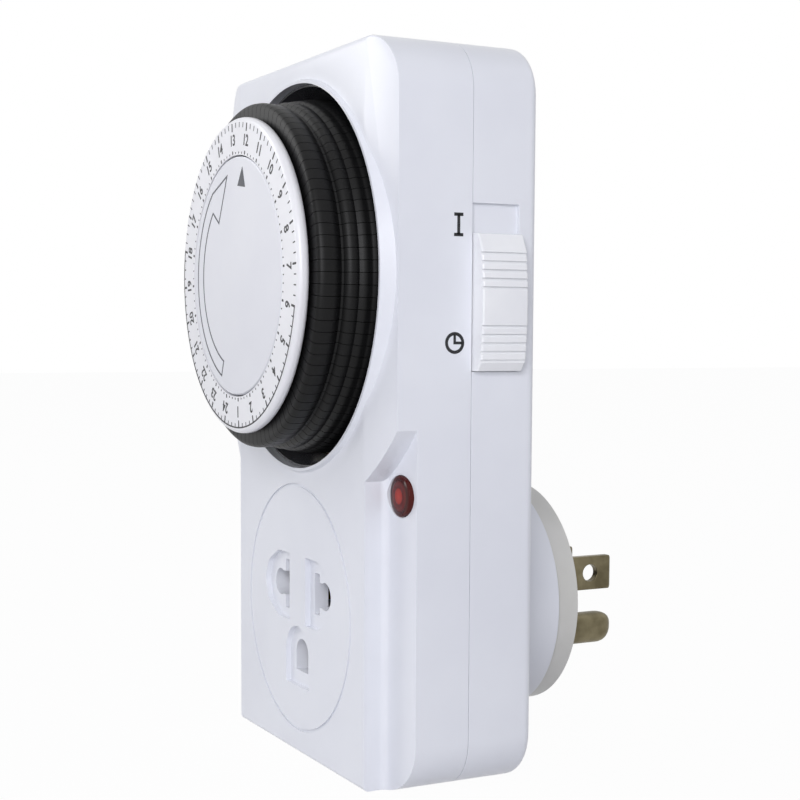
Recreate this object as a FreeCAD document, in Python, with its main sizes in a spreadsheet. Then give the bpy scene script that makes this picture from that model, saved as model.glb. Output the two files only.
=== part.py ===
import FreeCAD, Part
import math
import os
import re
import Sketcher

# A plug in timer switch with a day dial. Millimetres. X is to the right seen from the front,
# Y runs from the front to the plug, Z is up. The origin is the middle of the plug's rear face.

doc = FreeCAD.newDocument("plug_in_timer_switch")
sheet = doc.addObject("Spreadsheet::Sheet", "Sizes")

SIZES = {
    # The case
    "case_width": 69.6,
    "case_height": 120.6,
    "case_depth": 27.0,
    "front_shell_depth": 14.8,
    "case_drop": 26.0,
    "case_corner": 8.5,
    "case_wall": 2.0,
    "front_edge_round": 0.9,
    "rear_edge_round": 1.6,
    "front_flat_width": 53.6,
    "bevel_drop": 1.7,
    "recess_inner_depth": 3.9,
    "recess_outer_depth": 5.2,
    "recess_fillet": 1.4,
    "recess_end_radius": 42.6,
    "joint_gap": 0.1,
    # The plug
    "boss_radius": 21.2,
    "boss_length": 14.0,
    "boss_wall": 1.9,
    "insert_radius": 20.3,
    "insert_rise": 4.6,
    "insert_seat": 3.0,
    "line_height": 3.2,
    "blade_spacing": 12.7,
    "ground_offset": 11.9,
    "blade_thickness": 1.5,
    "blade_width": 6.35,
    "blade_reach": 16.4,
    "blade_root": 6.6,
    "blade_hole_radius": 1.6,
    "blade_hole_reach": 11.6,
    "pin_radius": 2.4,
    "pin_height": 6.0,
    "pin_reach": 20.6,
    "pin_nose": 3.4,
    # The outlet
    "outlet_radius": 21.4,
    "outlet_line_width": 0.5,
    "outlet_line_depth": 0.35,
    "outlet_recess": 1.0,
    "outlet_wall": 2.6,
    "neutral_slot_height": 8.8,
    "live_slot_height": 7.2,
    "slot_width": 2.1,
    "round_hole_radius": 2.4,
    "round_hole_reach": 9.5,
    "blade_recess_inner": 3.4,
    "blade_recess_outer": 14.6,
    "blade_recess_height": 12.0,
    "ground_hole_width": 5.2,
    "ground_hole_height": 5.8,
    "ground_recess_margin": 2.4,
    "contact_depth": 5.2,
    "contact_length": 13.0,
    "contact_sheet": 0.5,
    "contact_gap": 1.8,
    "contact_height": 6.4,
    "strap_thickness": 0.8,
    "strap_width": 5.0,
    "carrier_thickness": 2.2,
    "carrier_width": 48.0,
    "carrier_height": 24.0,
    "contact_web": 0.8,
    "leg_radius": 1.8,
    # The dial
    "dial_height": 57.6,
    "well_radius": 32.9,
    "well_lip": 0.7,
    "well_wall": 1.5,
    "liner_wall": 1.0,
    "liner_front": 0.9,
    "liner_depth": 7.0,
    "dial_front": 11.4,
    "dial_plate": 2.1,
    "dial_plate_radius": 26.6,
    "dial_edge_round": 0.9,
    "disc_radius": 20.1,
    "disc_gap": 0.25,
    "disc_thickness": 2.0,
    "disc_boss_radius": 5.0,
    "segment_count": 96,
    "segment_gap": 0.3,
    "segment_inner": 24.7,
    "segment_head_radius": 29.1,
    "segment_neck_radius": 28.5,
    "segment_foot_radius": 30.3,
    "segment_rear": 5.0,
    "segment_tongue": 1.2,
    "segment_tongue_width": 0.6,
    "drum_outer": 24.4,
    "drum_inner": 21.2,
    "drum_floor": 1.6,
    "running_gap": 0.06,
    "fit_gap": 0.3,
    "stem_radius": 3.2,
    "hub_radius": 6.4,
    # The gear train
    "dial_gear_teeth": 44,
    "clutch_pinion_teeth": 11,
    "dial_gear_module": 1.0,
    "wheel_teeth": 48,
    "pinion_teeth": 12,
    "train_module": 0.5,
    "backlash": 0.12,
    "dial_gear_depth": 7.7,
    "dial_gear_width": 2.2,
    "train_depth": 10.2,
    "wheel_width": 1.0,
    "train_step": 1.3,
    "arbor_radius": 0.9,
    "plate_depth": 14.2,
    "plate_thickness": 1.2,
    "plate_width": 55.4,
    "plate_height": 60.0,
    "plate_shift": 0.7,
    "plate_drop": 14.5,
    "ear_thickness": 1.4,
    "ear_height": 4.8,
    "clutch_x": -10.0,
    "second_x": 5.0,
    "first_x": 14.0,
    # The motor
    "motor_radius": 15.4,
    "motor_length": 9.2,
    "motor_sheet": 0.7,
    "bobbin_inner": 8.6,
    "bobbin_wall": 0.8,
    "winding_outer": 13.6,
    "rotor_radius": 7.6,
    # The lever and the snap switch
    "lever_x": 25.25,
    "lever_width": 2.5,
    "lever_front": 7.7,
    "finger_gap": 0.6,
    "lever_thickness": 2.2,
    "finger_drop": 10.9,
    "plunger_drop": 35.0,
    "pivot_drop": 42.0,
    "lever_pin_radius": 0.8,
    "snap_switch_length": 19.0,
    "snap_switch_height": 9.0,
    "snap_switch_depth": 8.4,
    "snap_switch_wall": 0.9,
    "plunger_width": 2.0,
    "plunger_rise": 0.9,
    "terminal_width": 4.0,
    "terminal_thickness": 0.6,
    "terminal_step": 1.6,
    "terminal_pitch": 6.0,
    # The slide switch
    "knob_bottom": 42.25,
    "knob_length": 21.65,
    "knob_width": 8.3,
    "knob_rise": 3.3,
    "knob_shoulder": 2.8,
    "knob_end_rise": 1.5,
    "knob_end_slope": 2.7,
    "knob_flat": 6.0,
    "channel_depth": 0.8,
    "knob_stem_width": 4.0,
    "knob_stem_length": 12.0,
    "knob_travel": 4.7,
    "rib_count": 5,
    "rib_pitch": 1.35,
    "rib_depth": 0.45,
    "runner_margin": 2.0,
    "runner_thickness": 1.6,
    # The lamp
    "lens_x": 30.7,
    "lens_height": 22.4,
    "lens_radius": 3.3,
    "lamp_radius": 1.9,
    # The case screws
    "screw_side_inset": 6.2,
    "screw_top_inset": 7.4,
    "screw_bottom_inset": 7.4,
    "screw_radius": 1.5,
    "screw_head_radius": 2.9,
    "screw_head_depth": 2.2,
    "post_radius": 3.4,
}

for row, (alias, value) in enumerate(SIZES.items(), start=1):
    sheet.set(f"A{row}", alias)
    sheet.set(f"B{row}", str(value))
    sheet.setAlias(f"B{row}", alias)
doc.recompute()

# Derived places, written with the sheet's own names
FRONT = "(-(case_depth + boss_length + insert_rise))"
PARTING = f"({FRONT} + front_shell_depth)"
BACK = "(-(boss_length + insert_rise))"
INSERT_FRONT = "(-insert_rise - insert_seat)"
HALF_WIDTH = "(case_width / 2)"
TOP = "(case_height - case_drop)"
GROUND_HEIGHT = "(line_height - ground_offset)"
PLATE = f"({FRONT} + plate_depth)"
PLATE_REAR = f"({FRONT} + plate_depth + plate_thickness)"
SEGMENT_FRONT = "(dial_plate - dial_front + fit_gap)"
CLUTCH_DISTANCE = "((dial_gear_teeth + clutch_pinion_teeth) * dial_gear_module / 2)"
TRAIN_DISTANCE = "((wheel_teeth + pinion_teeth) * train_module / 2)"

parts = []


def text(expression):
    """Give an expression with every size name pointing into the sheet."""
    return re.sub(r"[a-z][a-z_]*", lambda found: "Sizes." + found.group(0)
                  if found.group(0) in SIZES else found.group(0), str(expression))


def number(expression):
    """Work an expression out with the sheet's values."""
    return float(sheet.evalExpression(text(expression)))


def bind(item, **values):
    """Tie properties of an object to expressions of the sheet."""
    for name, expression in values.items():
        item.setExpression(name, text(expression))
    return item


def place(item, x, y, z, rotation=None):
    """Set an object's turn and tie its place to the sheet."""
    if rotation is not None:
        item.Placement = FreeCAD.Placement(FreeCAD.Vector(), rotation)
    for axis, expression in zip("xyz", (x, y, z)):
        item.setExpression(f"Placement.Base.{axis}", text(expression))
    return item


ALONG_Y = FreeCAD.Rotation(FreeCAD.Vector(1, 0, 0), -90)
ALONG_X = FreeCAD.Rotation(FreeCAD.Vector(0, 1, 0), 90)
UPRIGHT = FreeCAD.Rotation()
TURNS = {"x": ALONG_X, "y": ALONG_Y, "z": UPRIGHT}


def box(name, x, y, z, length, width, height):
    """Make a block from its lowest corner and its three sides."""
    item = doc.addObject("Part::Box", name)
    bind(item, Length=length, Width=width, Height=height)
    return place(item, x, y, z)


def middle_box(name, x, y, z, length, width, height):
    """Make a block centred on x and z, from y backwards."""
    return box(name, f"{x} - ({length}) / 2", y, f"{z} - ({height}) / 2", length, width, height)


def rod(name, x, y, z, radius, length, along="y"):
    """Make a cylinder from its first end along one axis."""
    item = doc.addObject("Part::Cylinder", name)
    bind(item, Radius=radius, Height=length)
    return place(item, x, y, z, TURNS[along])


def cone(name, x, y, z, first_radius, last_radius, length, along="y"):
    """Make a cone from its first end along one axis."""
    item = doc.addObject("Part::Cone", name)
    bind(item, Radius1=first_radius, Radius2=last_radius, Height=length)
    return place(item, x, y, z, TURNS[along])


def join(name, items):
    """Fuse objects into one."""
    item = doc.addObject("Part::MultiFuse", name)
    item.Shapes = items
    item.Refine = True
    return item


def cut(name, base, tools):
    """Take one or more objects away from another."""
    item = doc.addObject("Part::Cut", name)
    item.Base = base
    item.Tool = tools[0] if len(tools) == 1 else join(name + "_tools", tools)
    item.Refine = True
    return item


def shared(name, items):
    """Keep only what objects have in common."""
    item = doc.addObject("Part::MultiCommon", name)
    item.Shapes = items
    return item


def tube(name, x, y, z, outer, inner, length, along="y"):
    """Make a round tube."""
    bore = rod(name + "_bore", x, y, z, inner, length, along)
    return cut(name, rod(name + "_outer", x, y, z, outer, length, along), [bore])


def both_sides(name, make):
    """Make one object on each side, left first, from a function of the side's sign."""
    return [make(f"{name}_left", "-1"), make(f"{name}_right", "1")]


def origin_plane(body, role):
    """Find one of a body's own planes or axes."""
    return next(item for item in body.Origin.OriginFeatures if item.Role == role)


def outline(body, role, points):
    """Sketch a closed outline of straight lines with every corner tied to the sheet."""
    sketch = body.newObject("Sketcher::SketchObject", body.Name + "_outline")
    sketch.AttachmentSupport = (origin_plane(body, role), [""])
    sketch.MapMode = "FlatFace"
    corners = [FreeCAD.Vector(number(x), number(y), 0) for x, y in points]
    for index, corner in enumerate(corners):
        sketch.addGeometry(Part.LineSegment(corner, corners[(index + 1) % len(corners)]), False)
    for index in range(len(corners)):
        following = (index + 1) % len(corners)
        sketch.addConstraint(Sketcher.Constraint("Coincident", index, 2, following, 1))
    for index, (x, y) in enumerate(points):
        for kind, value, corner in (("DistanceX", x, corners[index].x), ("DistanceY", y, corners[index].y)):
            entry = sketch.addConstraint(Sketcher.Constraint(kind, -1, 1, index, 1, corner))
            sketch.setExpression(f"Constraints[{entry}]", text(value))
    return sketch


def body_named(name, x, y, z):
    """Start a body at a place tied to the sheet."""
    return place(doc.addObject("PartDesign::Body", name), x, y, z)


def prism(name, role, points, length, x="0", y="0", z="0"):
    """Pad an outline of one plane to both sides of it by half the length."""
    body = body_named(name, x, y, z)
    pad = body.newObject("PartDesign::Pad", name + "_pad")
    pad.Profile = outline(body, role, points)
    pad.Midplane = True
    bind(pad, Length=length)
    doc.recompute()
    return body


def turned(name, points, x="0", z="0"):
    """Revolve an outline of radius and depth about a line along Y. Depth counts from the front face."""
    body = body_named(name, x, FRONT, z)
    sketch = outline(body, "XY_Plane", points)
    turn = body.newObject("PartDesign::Revolution", name + "_turn")
    turn.Profile = sketch
    turn.ReferenceAxis = (sketch, ["V_Axis"])
    turn.Angle = 360
    doc.recompute()
    return body


def soften(body, radius, chosen):
    """Fillet the edges of a body that a test picks."""
    base = body.Tip
    edges = [f"Edge{index}" for index, edge in enumerate(base.Shape.Edges, start=1) if chosen(edge)]
    fillet = body.newObject("PartDesign::Fillet", body.Name + "_fillet")
    fillet.Base = (base, edges)
    bind(fillet, Radius=radius)
    doc.recompute()
    return body


def made(name, shape, x="0", y="0", z="0"):
    """Hold a computed shape as one object, placed from the sheet."""
    item = doc.addObject("Part::Feature", name)
    item.Shape = shape
    return place(item, x, y, z)


def keep(item, label):
    """Name a finished sub-part."""
    item.Label = label
    parts.append(item)
    return item


def middle(edge):
    """Give the middle point of an edge."""
    return edge.valueAt((edge.FirstParameter + edge.LastParameter) / 2)


def case_outline(inset):
    """Give the corners of the case seen from the front, set in from its sides."""
    left = f"-{HALF_WIDTH} + {inset}"
    right = f"{HALF_WIDTH} - {inset}"
    low = f"-case_drop + {inset}"
    high = f"{TOP} - {inset}"
    return [(left, low), (right, low), (right, high), (left, high)]


def case_block(name, start, end, inset, radius):
    """Make a block with the case's rounded outline between two depths."""
    block = prism(name, "XZ_Plane", case_outline(inset), f"({end}) - ({start})", y=f"(({start}) + ({end})) / 2")
    return soften(block, radius, lambda edge: abs(edge.tangentAt(edge.FirstParameter).y) > 0.99)


def round_face(block, side, radius):
    """Round the edges of a block's front or rear face. Side is -1 for the front and 1 for the rear."""
    reach = max(side * middle(edge).y for edge in block.Tip.Shape.Edges)
    return soften(block, radius, lambda edge: abs(edge.BoundBox.YMax - side * reach) < 0.01
                  and edge.BoundBox.YLength < 0.01)


def side_bevel(name, side):
    """Make the shallow wedge taken off a long front edge."""
    points = [
        (f"{side} * front_flat_width / 2", "0"),
        (f"{side} * {HALF_WIDTH}", "0"),
        (f"{side} * {HALF_WIDTH}", "bevel_drop"),
    ]
    wedge = prism(name, "XY_Plane", points, "case_height + 2", y=FRONT, z="case_height / 2 - case_drop")
    return wedge


def side_recess(name, side):
    """Make the stepped recess of a lower side, which ends in an arc about the dial."""
    slope = "(recess_outer_depth - recess_inner_depth) / (case_width / 2 - front_flat_width / 2)"
    points = [
        (f"{side} * front_flat_width / 2", "-1"),
        (f"{side} * ({HALF_WIDTH} + 1)", "-1"),
        (f"{side} * ({HALF_WIDTH} + 1)", f"recess_outer_depth + {slope}"),
        (f"{side} * front_flat_width / 2", "recess_inner_depth"),
    ]
    inner_corner = number("front_flat_width / 2")
    shelf_depth = number("recess_inner_depth")
    wedge = prism(name, "XY_Plane", points, "case_drop + dial_height + 1", y=FRONT,
                  z="(dial_height - case_drop - 1) / 2")
    soften(wedge, "recess_fillet", lambda edge: abs(abs(middle(edge).x) - inner_corner) < 0.01
           and abs(middle(edge).y - shelf_depth) < 0.01 and abs(middle(edge).z) < 1)
    round_end = rod(name + "_end", "0", f"{FRONT} - 2", "dial_height", "recess_end_radius", "front_shell_depth")
    return cut(name + "_space", wedge, [round_end])


def slot_tools(side, slot_height):
    """Make the tools for one blade slot with its round hole, and for the shallow recess round it."""
    tag = "neutral" if side == "-1" else "live"
    through = "outlet_recess + outlet_wall + 3"
    start = f"{FRONT} - 1"
    slot = middle_box(tag + "_slot", f"{side} * blade_spacing / 2", start, "line_height", "slot_width",
                      through, slot_height)
    hole = rod(tag + "_round_hole", f"{side} * round_hole_reach", start, "line_height",
               "round_hole_radius", through)
    bridge_x = f"{side} * (round_hole_reach + blade_spacing / 2) / 2"
    bridge = middle_box(tag + "_bridge", bridge_x, start, "line_height",
                        "round_hole_reach - blade_spacing / 2", through, "2 * round_hole_radius - 0.5")
    return [slot, hole, bridge]


def blade_recess(side):
    """Make the shallow recess round a blade slot: straight inside, curved outside."""
    tag = "neutral" if side == "-1" else "live"
    half = "blade_recess_height / 2"
    reach = "(blade_recess_outer - blade_recess_inner)"
    points = [
        (f"{side} * blade_recess_inner", f"-{half}"),
        (f"{side} * (blade_recess_inner + {reach} * 0.45)", f"-{half}"),
        (f"{side} * (blade_recess_inner + {reach} * 0.85)", f"-{half} * 0.6"),
        (f"{side} * blade_recess_outer", "0"),
        (f"{side} * (blade_recess_inner + {reach} * 0.85)", f"{half} * 0.6"),
        (f"{side} * (blade_recess_inner + {reach} * 0.45)", half),
        (f"{side} * blade_recess_inner", half),
    ]
    recess = prism(tag + "_recess", "XZ_Plane", points, "2 * outlet_recess", y=FRONT, z="line_height")
    outer_end = number("blade_recess_inner + 1")
    return soften(recess, "round_hole_radius", lambda edge: abs(edge.tangentAt(edge.FirstParameter).y) > 0.99
                  and abs(middle(edge).x) > outer_end)


def arch(name, start, length, width, height, bottom):
    """Make a cutter with a flat bottom and a round top, centred on x."""
    block = middle_box(name + "_block", "0", start, f"{bottom} + ({height} - {width} / 2) / 2", width, length,
                       f"{height} - {width} / 2")
    cap = rod(name + "_cap", "0", start, f"{bottom} + {height} - {width} / 2", f"{width} / 2", length)
    return join(name, [block, cap])


def outlet_tools():
    """Make every cutter of the outlet face."""
    start = f"{FRONT} - 1"
    hole_bottom = f"{GROUND_HEIGHT} - ground_hole_height / 2"
    ground_hole = arch("ground_hole", start, "outlet_recess + outlet_wall + 3", "ground_hole_width",
                       "ground_hole_height", f"({hole_bottom})")
    margin = "ground_recess_margin"
    ground_recess = arch("ground_recess", start, "1 + outlet_recess", f"(ground_hole_width + 2 * {margin})",
                         f"(ground_hole_height + 2 * {margin})", f"({hole_bottom} - {margin})")
    ring = tube("outlet_line", "0", start, "0", "outlet_radius + outlet_line_width", "outlet_radius",
                "1 + outlet_line_depth")
    return (slot_tools("-1", "neutral_slot_height") + slot_tools("1", "live_slot_height")
            + [blade_recess("-1"), blade_recess("1"), ground_hole, ground_recess, ring])


def screw_places():
    """Give the four case screws' x and z expressions, set in from the case's sides."""
    heights = ("screw_bottom_inset - case_drop", f"{TOP} - screw_top_inset")
    return [(f"{side} * ({HALF_WIDTH} - screw_side_inset)", height) for side in ("-1", "1") for height in heights]


def front_cover():
    """The front shell with the dial well, the outlet face and the stepped sides."""
    shell = round_face(case_block("front_form", FRONT, PARTING, "0", "case_corner"), -1, "front_edge_round")
    bevelled = cut("front_bevelled", shell, both_sides("front_bevel", side_bevel))
    stepped = cut("front_stepped", bevelled, both_sides("front_recess", side_recess))
    inner = case_block("front_inner", f"{FRONT} + recess_outer_depth + case_wall", f"{PARTING} + 1",
                       "case_wall", "case_corner - case_wall")
    middle_room = middle_box("front_room", "0", f"{FRONT} + outlet_recess + outlet_wall", "dial_height / 2",
                             "front_flat_width - 2 * case_wall", "front_shell_depth",
                             "dial_height + 2 * (case_drop - case_wall)")
    lip = cone("well_lip", "0", f"{FRONT} - well_lip", "dial_height", "well_radius + well_wall / 3",
               "well_radius + well_wall", "well_lip + bevel_drop")
    well_wall = rod("well_wall", "0", f"{FRONT} + bevel_drop / 2", "dial_height", "well_radius + well_wall",
                    "liner_depth - bevel_drop / 2")
    limits = case_block("front_limits", f"{FRONT} - well_lip", PARTING, "0", "case_corner")
    raised = join("front_raised", [stepped, shared("well_lip_kept", [lip, limits])])
    hollow = join("front_hollow", [inner, middle_room])
    kept_wall = cut("front_kept", hollow, [well_wall])
    posts = join("front_posts", [
        rod(f"front_post_{index}", x, f"{FRONT} + case_wall", z, "post_radius",
            "front_shell_depth - case_wall")
        for index, (x, z) in enumerate(screw_places())
    ])
    inside = cut("front_inside", kept_wall, [posts])
    opening = rod("well_opening", "0", f"{FRONT} - well_lip - 1", "dial_height",
                  "well_radius", "liner_depth + well_lip + 2")
    pilots = [rod(f"front_pilot_{index}", x, f"{FRONT} + 2 * case_wall + recess_outer_depth", z,
                  "screw_radius + joint_gap / 2", "front_shell_depth")
              for index, (x, z) in enumerate(screw_places())]
    lens_hole = rod("lens_hole", "lens_x", f"{FRONT} - 1", "lens_height", "lens_radius + joint_gap",
                    "front_shell_depth - 3")
    return keep(cut("front_body", raised, [inside, opening, lens_hole] + outlet_tools() + pilots), "front_cover")


def rear_cover():
    """The rear shell with the hollow plug boss, the screw posts and the switch channel."""
    shell = round_face(case_block("rear_form", f"{PARTING} + joint_gap", BACK, "0", "case_corner"), 1,
                       "rear_edge_round")
    boss = rod("boss_form", "0", f"{BACK} - 1", "0", "boss_radius", "boss_length + 1")
    body = join("rear_solid", [shell, boss])
    inner = case_block("rear_inner", f"{PARTING} - 1", f"{BACK} - case_wall", "case_wall",
                       "case_corner - case_wall")
    posts = join("rear_posts", [
        rod(f"rear_post_{index}", x, f"{PARTING} + joint_gap", z, "post_radius",
            f"{BACK} - {PARTING} - joint_gap")
        for index, (x, z) in enumerate(screw_places())
    ])
    inside = cut("rear_inside", inner, [posts])
    boss_room = rod("boss_room", "0", f"{BACK} - case_wall - 1", "0", "boss_radius - boss_wall",
                    "case_wall + 1 + boss_length - insert_seat")
    insert_room = rod("insert_room", "0", INSERT_FRONT, "0", "insert_radius + joint_gap / 2",
                      "insert_seat + insert_rise")
    holes = [rod(f"rear_screw_hole_{index}", x, PARTING, z, "screw_radius + joint_gap", "case_depth")
             for index, (x, z) in enumerate(screw_places())]
    sinks = [rod(f"rear_screw_sink_{index}", x, f"{BACK} - screw_head_depth", z,
                 "screw_head_radius + joint_gap", "case_depth")
             for index, (x, z) in enumerate(screw_places())]
    channel = box("switch_channel", f"{HALF_WIDTH} - channel_depth", PARTING, "knob_bottom - joint_gap",
                  "channel_depth + 1", "knob_width + 3 * joint_gap",
                  "knob_length + knob_travel + 2 * joint_gap")
    stem_slot = box("switch_stem_slot", f"{HALF_WIDTH} - case_wall - 1",
                    f"{PARTING} + joint_gap + (knob_width - knob_stem_width) / 2",
                    "knob_bottom + (knob_length - knob_stem_length) / 2 - joint_gap", "case_wall + 1",
                    "knob_stem_width + 2 * joint_gap", "knob_stem_length + knob_travel + 2 * joint_gap")
    return keep(cut("rear_body", body, [inside, boss_room, insert_room, channel, stem_slot] + holes + sinks),
                "rear_cover")


def case_screws():
    """The four screws that hold the two shells together, driven from the rear."""
    screws = []
    for index, (x, z) in enumerate(screw_places()):
        head_y = f"{BACK} - screw_head_depth"
        shank = rod(f"screw_shank_{index}", x, f"{PARTING} - 4", z, "screw_radius",
                    f"{BACK} - screw_head_depth - {PARTING} + 4.5")
        head = rod(f"screw_head_{index}", x, head_y, z, "screw_head_radius", "screw_head_depth - 0.4")
        slots = [
            middle_box(f"screw_slot_a_{index}", x, f"{BACK} - 1.4", z, "3.2", "2", "0.7"),
            middle_box(f"screw_slot_b_{index}", x, f"{BACK} - 1.4", z, "0.7", "2", "3.2"),
        ]
        screws.append(cut(f"screw_{index}", join(f"screw_form_{index}", [shank, head]), slots))
    group = doc.addObject("Part::Compound", "screw_group")
    group.Links = screws
    return keep(group, "case_screws")


def well_liner():
    """The dark ring that lines the dial opening, a funnel that narrows towards the segments' feet."""
    outer = "well_radius - joint_gap"
    throat = "segment_foot_radius + 2 * fit_gap"
    points = [
        (f"{outer} - liner_wall / 3", "liner_front"),
        (outer, "liner_front"),
        (outer, "liner_depth"),
        (throat, "liner_depth"),
        (throat, "liner_depth - liner_wall"),
    ]
    return keep(turned("liner", points, z="dial_height"), "well_liner")


def dial_ring():
    """The white numbered ring with its rounded rim and a skirt into the carrier."""
    front = "-dial_front"
    rear = "dial_plate - dial_front"
    bore = "disc_radius + disc_gap"
    points = [
        (bore, front),
        ("dial_plate_radius", front),
        ("dial_plate_radius", rear),
        ("drum_inner - fit_gap / 3", rear),
        ("drum_inner - fit_gap / 3", f"{rear} + 3"),
        (bore, f"{rear} + 3"),
    ]
    ring = turned("ring", points, z="dial_height")
    rim = number("dial_plate_radius")
    return keep(soften(ring, "dial_edge_round", lambda edge: abs(edge.BoundBox.XMax - rim) < 0.01
                       and edge.BoundBox.YLength < 0.01), "dial_ring")


def centre_disc():
    """The fixed white disc with a boss that snaps on the stem."""
    front = "-dial_front"
    rear = "disc_thickness - dial_front"
    points = [
        ("0", front),
        ("disc_radius", front),
        ("disc_radius", rear),
        ("disc_boss_radius", rear),
        ("disc_boss_radius", f"{rear} + 4"),
        ("stem_radius - 1.2", f"{rear} + 4"),
        ("stem_radius - 1.2", f"{rear} + 0.5"),
        ("0", f"{rear} + 0.5"),
    ]
    disc = turned("disc", points, z="dial_height")
    rim = number("disc_radius")
    front_depth = number(front)
    return keep(soften(disc, "0.25", lambda edge: abs(edge.BoundBox.XMax - rim) < 0.01
                       and abs(middle(edge).y - front_depth) < 0.01), "centre_disc")


def segment_carrier():
    """The slotted drum that turns with the dial and guides the segments."""
    rear = "dial_plate - dial_front"
    floor = "segment_rear - drum_floor"
    points = [
        ("drum_inner", rear),
        ("drum_outer", rear),
        ("drum_outer", "segment_rear"),
        ("hub_radius + 2", "segment_rear"),
        ("hub_radius + 2", "dial_gear_depth"),
        ("stem_radius + running_gap", "dial_gear_depth"),
        ("stem_radius + running_gap", f"{floor} - 4"),
        ("hub_radius", f"{floor} - 4"),
        ("hub_radius", floor),
        ("drum_inner", floor),
    ]
    drum = turned("drum", points, z="dial_height")
    doc.recompute()
    count = int(number("segment_count"))
    width = number("segment_tongue_width + 2 * joint_gap")
    inner = number("drum_outer - segment_tongue - joint_gap")
    slot = Part.makeBox(width, number(f"segment_rear - ({rear})") + 2, number("drum_outer") - inner + 1,
                        FreeCAD.Vector(-width / 2, number(f"{FRONT} + {rear}") - 1, inner))
    slots = []
    for index in range(count):
        turned_slot = slot.copy()
        turned_slot.rotate(FreeCAD.Vector(), FreeCAD.Vector(0, 1, 0), 360 * (index + 0.5) / count)
        slots.append(turned_slot)
    cutters = made("carrier_slots", Part.makeCompound(slots), z="dial_height")
    return keep(cut("carrier_body", drum, [cutters]), "segment_carrier")


def segment_profile():
    """Give the outline of a switching segment in radius and depth."""
    front = number(SEGMENT_FRONT)
    rear = number("segment_rear")
    head = number("segment_head_radius")
    neck = number("segment_neck_radius")
    foot = number("segment_foot_radius")
    inner = number("segment_inner")
    groove = 0.35
    return [
        (inner, front), (head - 1.1, front), (head - 0.2, front + 0.9), (head, front + 2.0),
        (head, front + 3.6), (neck, front + 4.1), (neck, front + 4.7), (foot - 0.4, front + 5.1),
        (foot, front + 7.6), (foot, rear - 4.6), (foot - groove, rear - 4.4), (foot - groove, rear - 4.1),
        (foot, rear - 3.9), (foot, rear - 2.8), (foot - groove, rear - 2.6), (foot - groove, rear - 2.3),
        (foot, rear - 2.1), (foot, rear), (inner, rear),
    ]


def segment_shape(index):
    """Make one of the segments: a slice of the ring with a tongue that slides in the carrier."""
    pitch = 360 / number("segment_count")
    corners = [FreeCAD.Vector(0, depth, radius) for radius, depth in segment_profile()]
    face = Part.Face(Part.makePolygon(corners + corners[:1]))
    gap_angle = math.degrees(number("segment_gap / segment_foot_radius"))
    slice_shape = face.revolve(FreeCAD.Vector(), FreeCAD.Vector(0, 1, 0), pitch - gap_angle)
    slice_shape.rotate(FreeCAD.Vector(), FreeCAD.Vector(0, 1, 0), -(pitch - gap_angle) / 2)
    width = number("segment_tongue_width")
    reach = number("segment_inner - drum_outer + segment_tongue")
    front, rear = number(f"{SEGMENT_FRONT} + 2"), number("segment_rear")
    tongue = Part.makeBox(width, rear - front, reach + 0.3,
                          FreeCAD.Vector(-width / 2, front, number("segment_inner") - reach))
    segment = slice_shape.fuse(tongue).removeSplitter()
    segment.rotate(FreeCAD.Vector(), FreeCAD.Vector(0, 1, 0), pitch * (index + 0.5))
    return segment


def switching_segments():
    """The ring of segments, one for each quarter of an hour, and one of them by itself."""
    count = int(number("segment_count"))
    single = count // 2
    group = Part.makeCompound([segment_shape(index) for index in range(count) if index != single])
    keep(made("segment_ring", group, y=FRONT, z="dial_height"), "switching_segments")
    return keep(made("one_segment", segment_shape(single), y=FRONT, z="dial_height"), "noon_segment")


def involute(angle):
    """Give the involute function of a pressure angle."""
    return math.tan(angle) - angle


def gear_shape(teeth, module, width, bore, hub=0.0, hub_length=0.0):
    """Make a spur gear along Y with involute flanks, a bore and a hub on its rear side."""
    pitch = module * teeth / 2
    base = pitch * math.cos(math.radians(20))
    root, tip = pitch - 1.25 * module, pitch + module
    start = max(base, root)
    flank = []
    for step in range(4):
        radius = start + (tip - start) * step / 3
        pressure = math.acos(min(1.0, base / radius))
        half = (math.pi / (2 * teeth) - number("backlash") * module / (2 * pitch)
                + involute(math.radians(20)) - involute(pressure))
        flank.append((radius, max(half, 0.006)))
    tooth = [(root, -flank[0][1])] + [(radius, -half) for radius, half in flank]
    tooth += [(radius, half) for radius, half in reversed(flank)] + [(root, flank[0][1])]
    corners = []
    for index in range(teeth):
        turn = 2 * math.pi * index / teeth
        for radius, angle in tooth:
            corner = FreeCAD.Vector(radius * math.sin(turn + angle), 0, radius * math.cos(turn + angle))
            if not corners or (corner - corners[-1]).Length > 0.001:
                corners.append(corner)
    blank = Part.Face(Part.makePolygon(corners + corners[:1])).extrude(FreeCAD.Vector(0, width, 0))
    along = FreeCAD.Vector(0, 1, 0)
    if hub:
        blank = blank.fuse(Part.makeCylinder(hub, hub_length, FreeCAD.Vector(), along))
    return blank.cut(Part.makeCylinder(bore, 60, FreeCAD.Vector(0, -30, 0), along))


def turn_to_mesh(teeth, angle, driver_teeth, driver_turn):
    """Work out the turn that sets a gear's gap opposite a tooth of the gear it meets."""
    driver_phase = (angle - driver_turn) * driver_teeth / 360
    return angle + 180 - (driver_phase + 0.5) * -360 / teeth


def direction(x, z):
    """Give the clockwise angle from straight up of a direction seen from the front."""
    return math.degrees(math.atan2(x, z))


def spun(shape, angle):
    """Turn a shape clockwise, seen from the front, about its own axis along Y."""
    shape.rotate(FreeCAD.Vector(), FreeCAD.Vector(0, 1, 0), angle)
    return shape


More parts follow.
